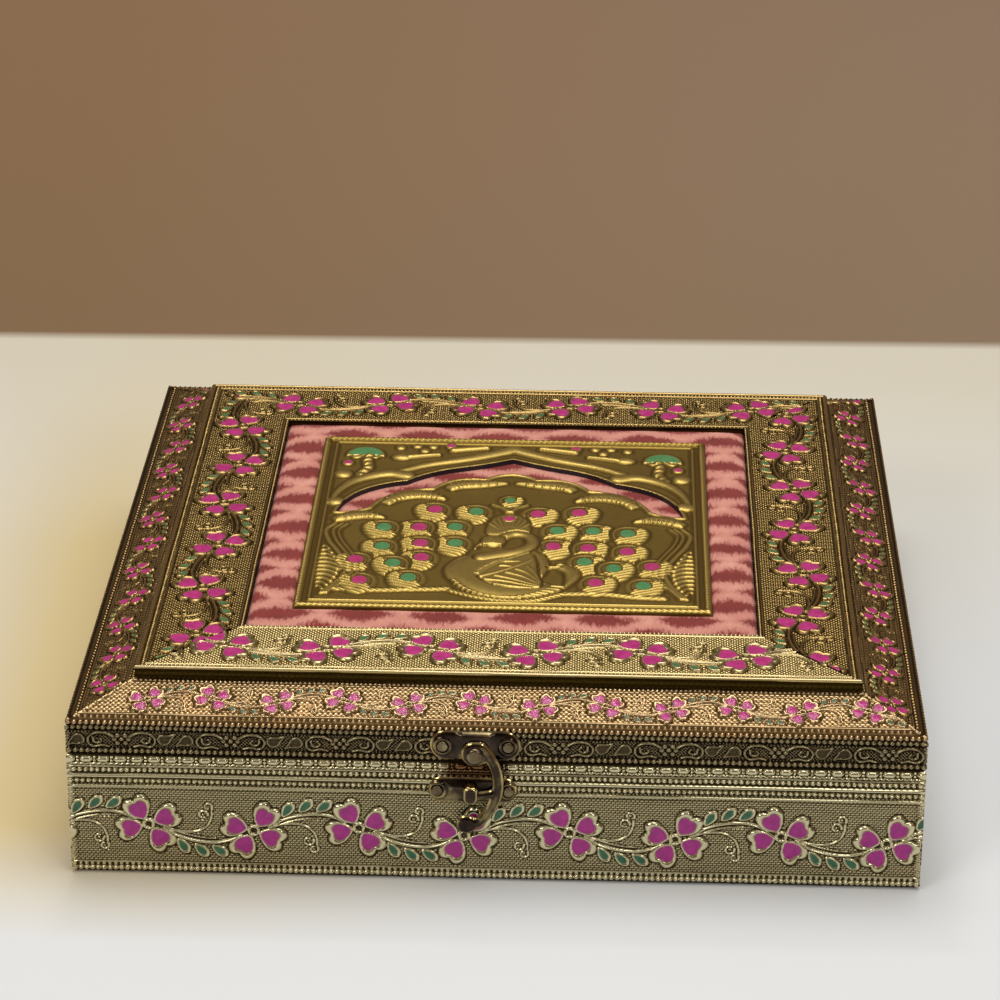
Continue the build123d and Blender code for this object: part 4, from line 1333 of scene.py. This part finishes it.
finishes = {
    "mdf": grained(
        "fibreboard", (1400.0, 4.0, 0.7),
        [(0.3, (0.17, 0.09, 0.042)), (0.55, (0.30, 0.18, 0.09)), (0.8, (0.40, 0.26, 0.14))],
        (0.0, 1.0, 0.95, 0.75), (0.35, 0.0003), stain=(0.2, 0.11, 0.05),
    ),
    "antique_bronze": grained(
        "antique_bronze", (160.0, 4.0, 0.6),
        [(0.3, (0.07, 0.05, 0.028)), (0.52, (0.17, 0.13, 0.075)), (0.75, (0.34, 0.27, 0.16))],
        (0.3, 0.8, 0.26, 0.14), (0.06, 0.0002), fine=(1500.0, 2.0, 0.5), Metallic=1.0,
    ),
    "lining_velvet": grained(
        "flocked_lining", pile, [(0.3, (0.13, 0.008, 0.016)), (0.7, (0.26, 0.02, 0.035))], pile_rough,
        (0.5, 0.0005), shade=(45.0, 3.0, 0.6),
        Sheen_Weight=0.6, Sheen_Roughness=0.4, Sheen_Tint=(1.0, 0.45, 0.5),
    ),
    "cover_paper": grained(
        "black_paper", (900.0, 5.0, 0.65), [(0.3, (0.012, 0.011, 0.012)), (0.8, (0.035, 0.032, 0.033))],
        (0.2, 0.8, 0.85, 0.6), (0.25, 0.0002),
    ),
    "ikat_velvet": velvet_material(),
    "plaque_foil": plaque_foil,
}
for entry in frame["record"]["subparts"]:
    node = nodes[entry["node"]]
    if entry["material_slot"] in finishes:
        node.data.materials.clear()
        node.data.materials.append(finishes[entry["material_slot"]])

# The card under the plaque's sheet shows as a black edge round the cut
card_top, card_foot = plaque_level + 0.3, 58.05
black_card = grained(
    "black_card", (1200.0, 3.0, 0.6), [(0.3, (0.008, 0.006, 0.010)), (0.8, (0.022, 0.016, 0.022))],
    (0.2, 0.8, 0.7, 0.5),
)
count = len(slot_outline)
card_mesh = bpy.data.meshes.new("plaque_card_edge")
card_mesh.from_pydata(
    [(x * MM, y * MM, z * MM) for z in (card_foot, card_top) for x, y in slot_outline],
    [],
    [(i, (i + 1) % count, count + (i + 1) % count, count + i) for i in range(count)],
)
place(card_mesh, "plaque_card_edge", black_card, "lid", "mdf", "plaque_board")

# Velvet panel: a crowned pad, pressed flat under the plaque
pad_half = 78.45
pad_foot = 55.25
pad_edge = 57.75
pad_crown = 59.45
pad_pressed = 58.25
pad_round = 5.5
pad_limit = 59.6
press_from, press_to = 64.0, 66.4
count = int(round(2 * pad_half / pad_step))
lines = np.linspace(-pad_half, pad_half, count + 1)
pad_x, pad_y = np.meshgrid(lines, lines)
out_from_middle = np.maximum(np.abs(pad_x), np.abs(pad_y))
corner_soft = 0.35 * smooth(pad_half - 6.0, pad_half, np.minimum(np.abs(pad_x), np.abs(pad_y)))
t = np.clip((pad_half - out_from_middle) / pad_round, 0.0, 1.0)
pad_z = pad_edge + (pad_crown - pad_edge) * np.sqrt(1.0 - (1.0 - t) ** 2) - corner_soft
pad_z += 0.07 * np.sin(pad_x / 3.1 + 0.8 * np.sin(pad_y / 5.0)) * np.sin(pad_y / 3.7 + 0.5)
pad_z = pad_z + (pad_pressed - pad_z) * (1.0 - smooth(press_from, press_to, out_from_middle))
top_points = np.stack([pad_x, pad_y, np.minimum(pad_z, pad_limit)], -1).reshape(-1, 3)
index, quads = grid_index(count + 1, count + 1)
ring = np.concatenate([index[0, :-1], index[:-1, -1], index[-1, :0:-1], index[:0:-1, 0]])
foot_points = top_points[ring].copy()
foot_points[:, 2] = pad_foot
foot = len(top_points) + np.arange(len(ring))
sides = [(foot[i], foot[(i + 1) % len(ring)], ring[(i + 1) % len(ring)], ring[i]) for i in range(len(ring))]
pad_mesh = bpy.data.meshes.new("velvet_pad")
pad_mesh.from_pydata(
    (np.vstack([top_points, foot_points]) * MM).tolist(),
    [],
    quads.reshape(-1, 4).tolist()
    + [tuple(int(v) for v in side) for side in sides]
    + [tuple(int(v) for v in foot[::-1])],
)
pad_mesh.shade_smooth()
pad = place(pad_mesh, "velvet_pad", finishes["ikat_velvet"], "lid", "ikat_velvet", "velvet_panel")

# Floor: a pale table top that gives way to a tan room behind it


def floor_material():
    """The table's colour, warmer towards the back, with a painted golden glow left of the box and behind it,
    and the tan beyond the table's edge.
    """
    t = Tree(bpy.data.materials.new("pale_table"))
    x, y, _ = t.parts(t.at)
    soft = t.noise(1.6, 2.0, 0.5)
    edge = t.span(t.plus(y, t.times(x, -0.0178)), 0.2985, 0.3070)
    pale = t.mix(soft, (0.71, 0.73, 0.745), (0.745, 0.765, 0.775))
    table = t.mix(t.span(y, 0.0, 0.27), pale, (0.665, 0.625, 0.515))
    # Painted glow: light reflected from the gold foil, painted onto the table left of the box and behind it.
    painted_glow = t.times(t.span(x, -0.21, -0.155, 0.2, 0.92), t.span(x, -0.1, 0.0, 1.0, 0.0))
    painted_glow = t.times(painted_glow, t.span(y, -0.165, -0.1))
    painted_glow = t.times(painted_glow, t.span(y, 0.1, 0.27, 1.0, 0.15))
    table = t.mix(painted_glow, table, (0.67, 0.525, 0.24))
    to_right = t.span(t.over(x, t.plus(y, 1.03)), -0.14, 0.14)
    near_tan = t.mix(to_right, (0.215, 0.128, 0.061), (0.243, 0.165, 0.10))
    far_tan = t.mix(to_right, (0.29, 0.17, 0.083), (0.31, 0.208, 0.137))
    tan = t.mix(t.span(y, 0.33, 0.78), near_tan, far_tan)
    return t.finish(t.mix(edge, table, tan), t.span(soft, 0.3, 0.7, 0.5, 0.6))


floor_mesh = bpy.data.meshes.new("table_top")
reach = 12.0
floor_mesh.from_pydata(
    [(-reach, -reach, 0), (reach, -reach, 0), (reach, reach, 0), (-reach, reach, 0)], [], [(0, 1, 2, 3)]
)
floor = bpy.data.objects.new("table_top", floor_mesh)
bpy.context.scene.collection.objects.link(floor)
floor_mesh.materials.append(floor_material())

# World: a tan room, lighter overhead
world = bpy.data.worlds.new("room")
bpy.context.scene.world = world
sky = Tree(world, "ShaderNodeBackground", "ShaderNodeOutputWorld")
room_tones = [(0.0, (0.26, 0.18, 0.125)), (0.45, (0.22, 0.165, 0.12)), (0.9, (0.60, 0.585, 0.56))]
sky.set(sky.shader, "Color", sky.ramp(sky.parts(sky.places["Generated"])[2], room_tones))
sky.set(sky.shader, "Strength", 0.9)


def lamp(name, place, aim, size, power, colour):
    """A rectangular soft lamp in metres, aimed at a point."""
    data = bpy.data.lights.new(name, "AREA")
    data.shape = "RECTANGLE"
    data.size, data.size_y = size
    data.energy = power
    data.color = colour
    item = bpy.data.objects.new(name, data)
    bpy.context.scene.collection.objects.link(item)
    item.location = place
    item.rotation_euler = (Vector(aim) - Vector(place)).to_track_quat("-Z", "Y").to_euler()


lamp("overhead", (0.1, 0.1, 1.4), (0, 0, 0), (1.3, 0.8), 12.0, (1.0, 0.99, 0.97))
lamp("front_left", (-0.9, -1.1, 1.1), (0, 0, 0.03), (0.7, 0.5), 6.3, (1.0, 0.985, 0.955))
lamp("front_right", (0.8, -1.3, 0.9), (0, 0, 0.03), (0.3, 0.3), 2.9, (1.0, 0.99, 0.975))
lamp("behind", (-0.12, 0.62, 1.15), (0, -0.12, 0.055), (0.2, 0.05), 1.0, (1.0, 0.93, 0.82))

# Camera
az, el, roll = (math.radians(v) for v in (camera_azimuth, camera_elevation, camera_roll))
forward = Vector((math.sin(az) * math.cos(el), math.cos(az) * math.cos(el), -math.sin(el)))
right = Vector((math.cos(az), -math.sin(az), 0.0))
up = right.cross(forward)
tilted_right = math.cos(roll) * right + math.sin(roll) * up
tilted_up = -math.sin(roll) * right + math.cos(roll) * up
camera_data = bpy.data.cameras.new("camera")
camera_data.sensor_width = 36.0
camera_data.lens = camera_lens
camera_data.shift_x, camera_data.shift_y = camera_shift
camera_data.clip_start = 0.05
camera_data.clip_end = 60.0
camera = bpy.data.objects.new("camera", camera_data)
bpy.context.scene.collection.objects.link(camera)
turn = Matrix((tilted_right, tilted_up, -forward)).transposed()
camera.matrix_world = Matrix.Translation((camera_target - camera_distance * forward) * MM) @ turn.to_4x4()
bpy.context.scene.camera = camera
bpy.context.scene.view_settings.view_transform = "Standard"
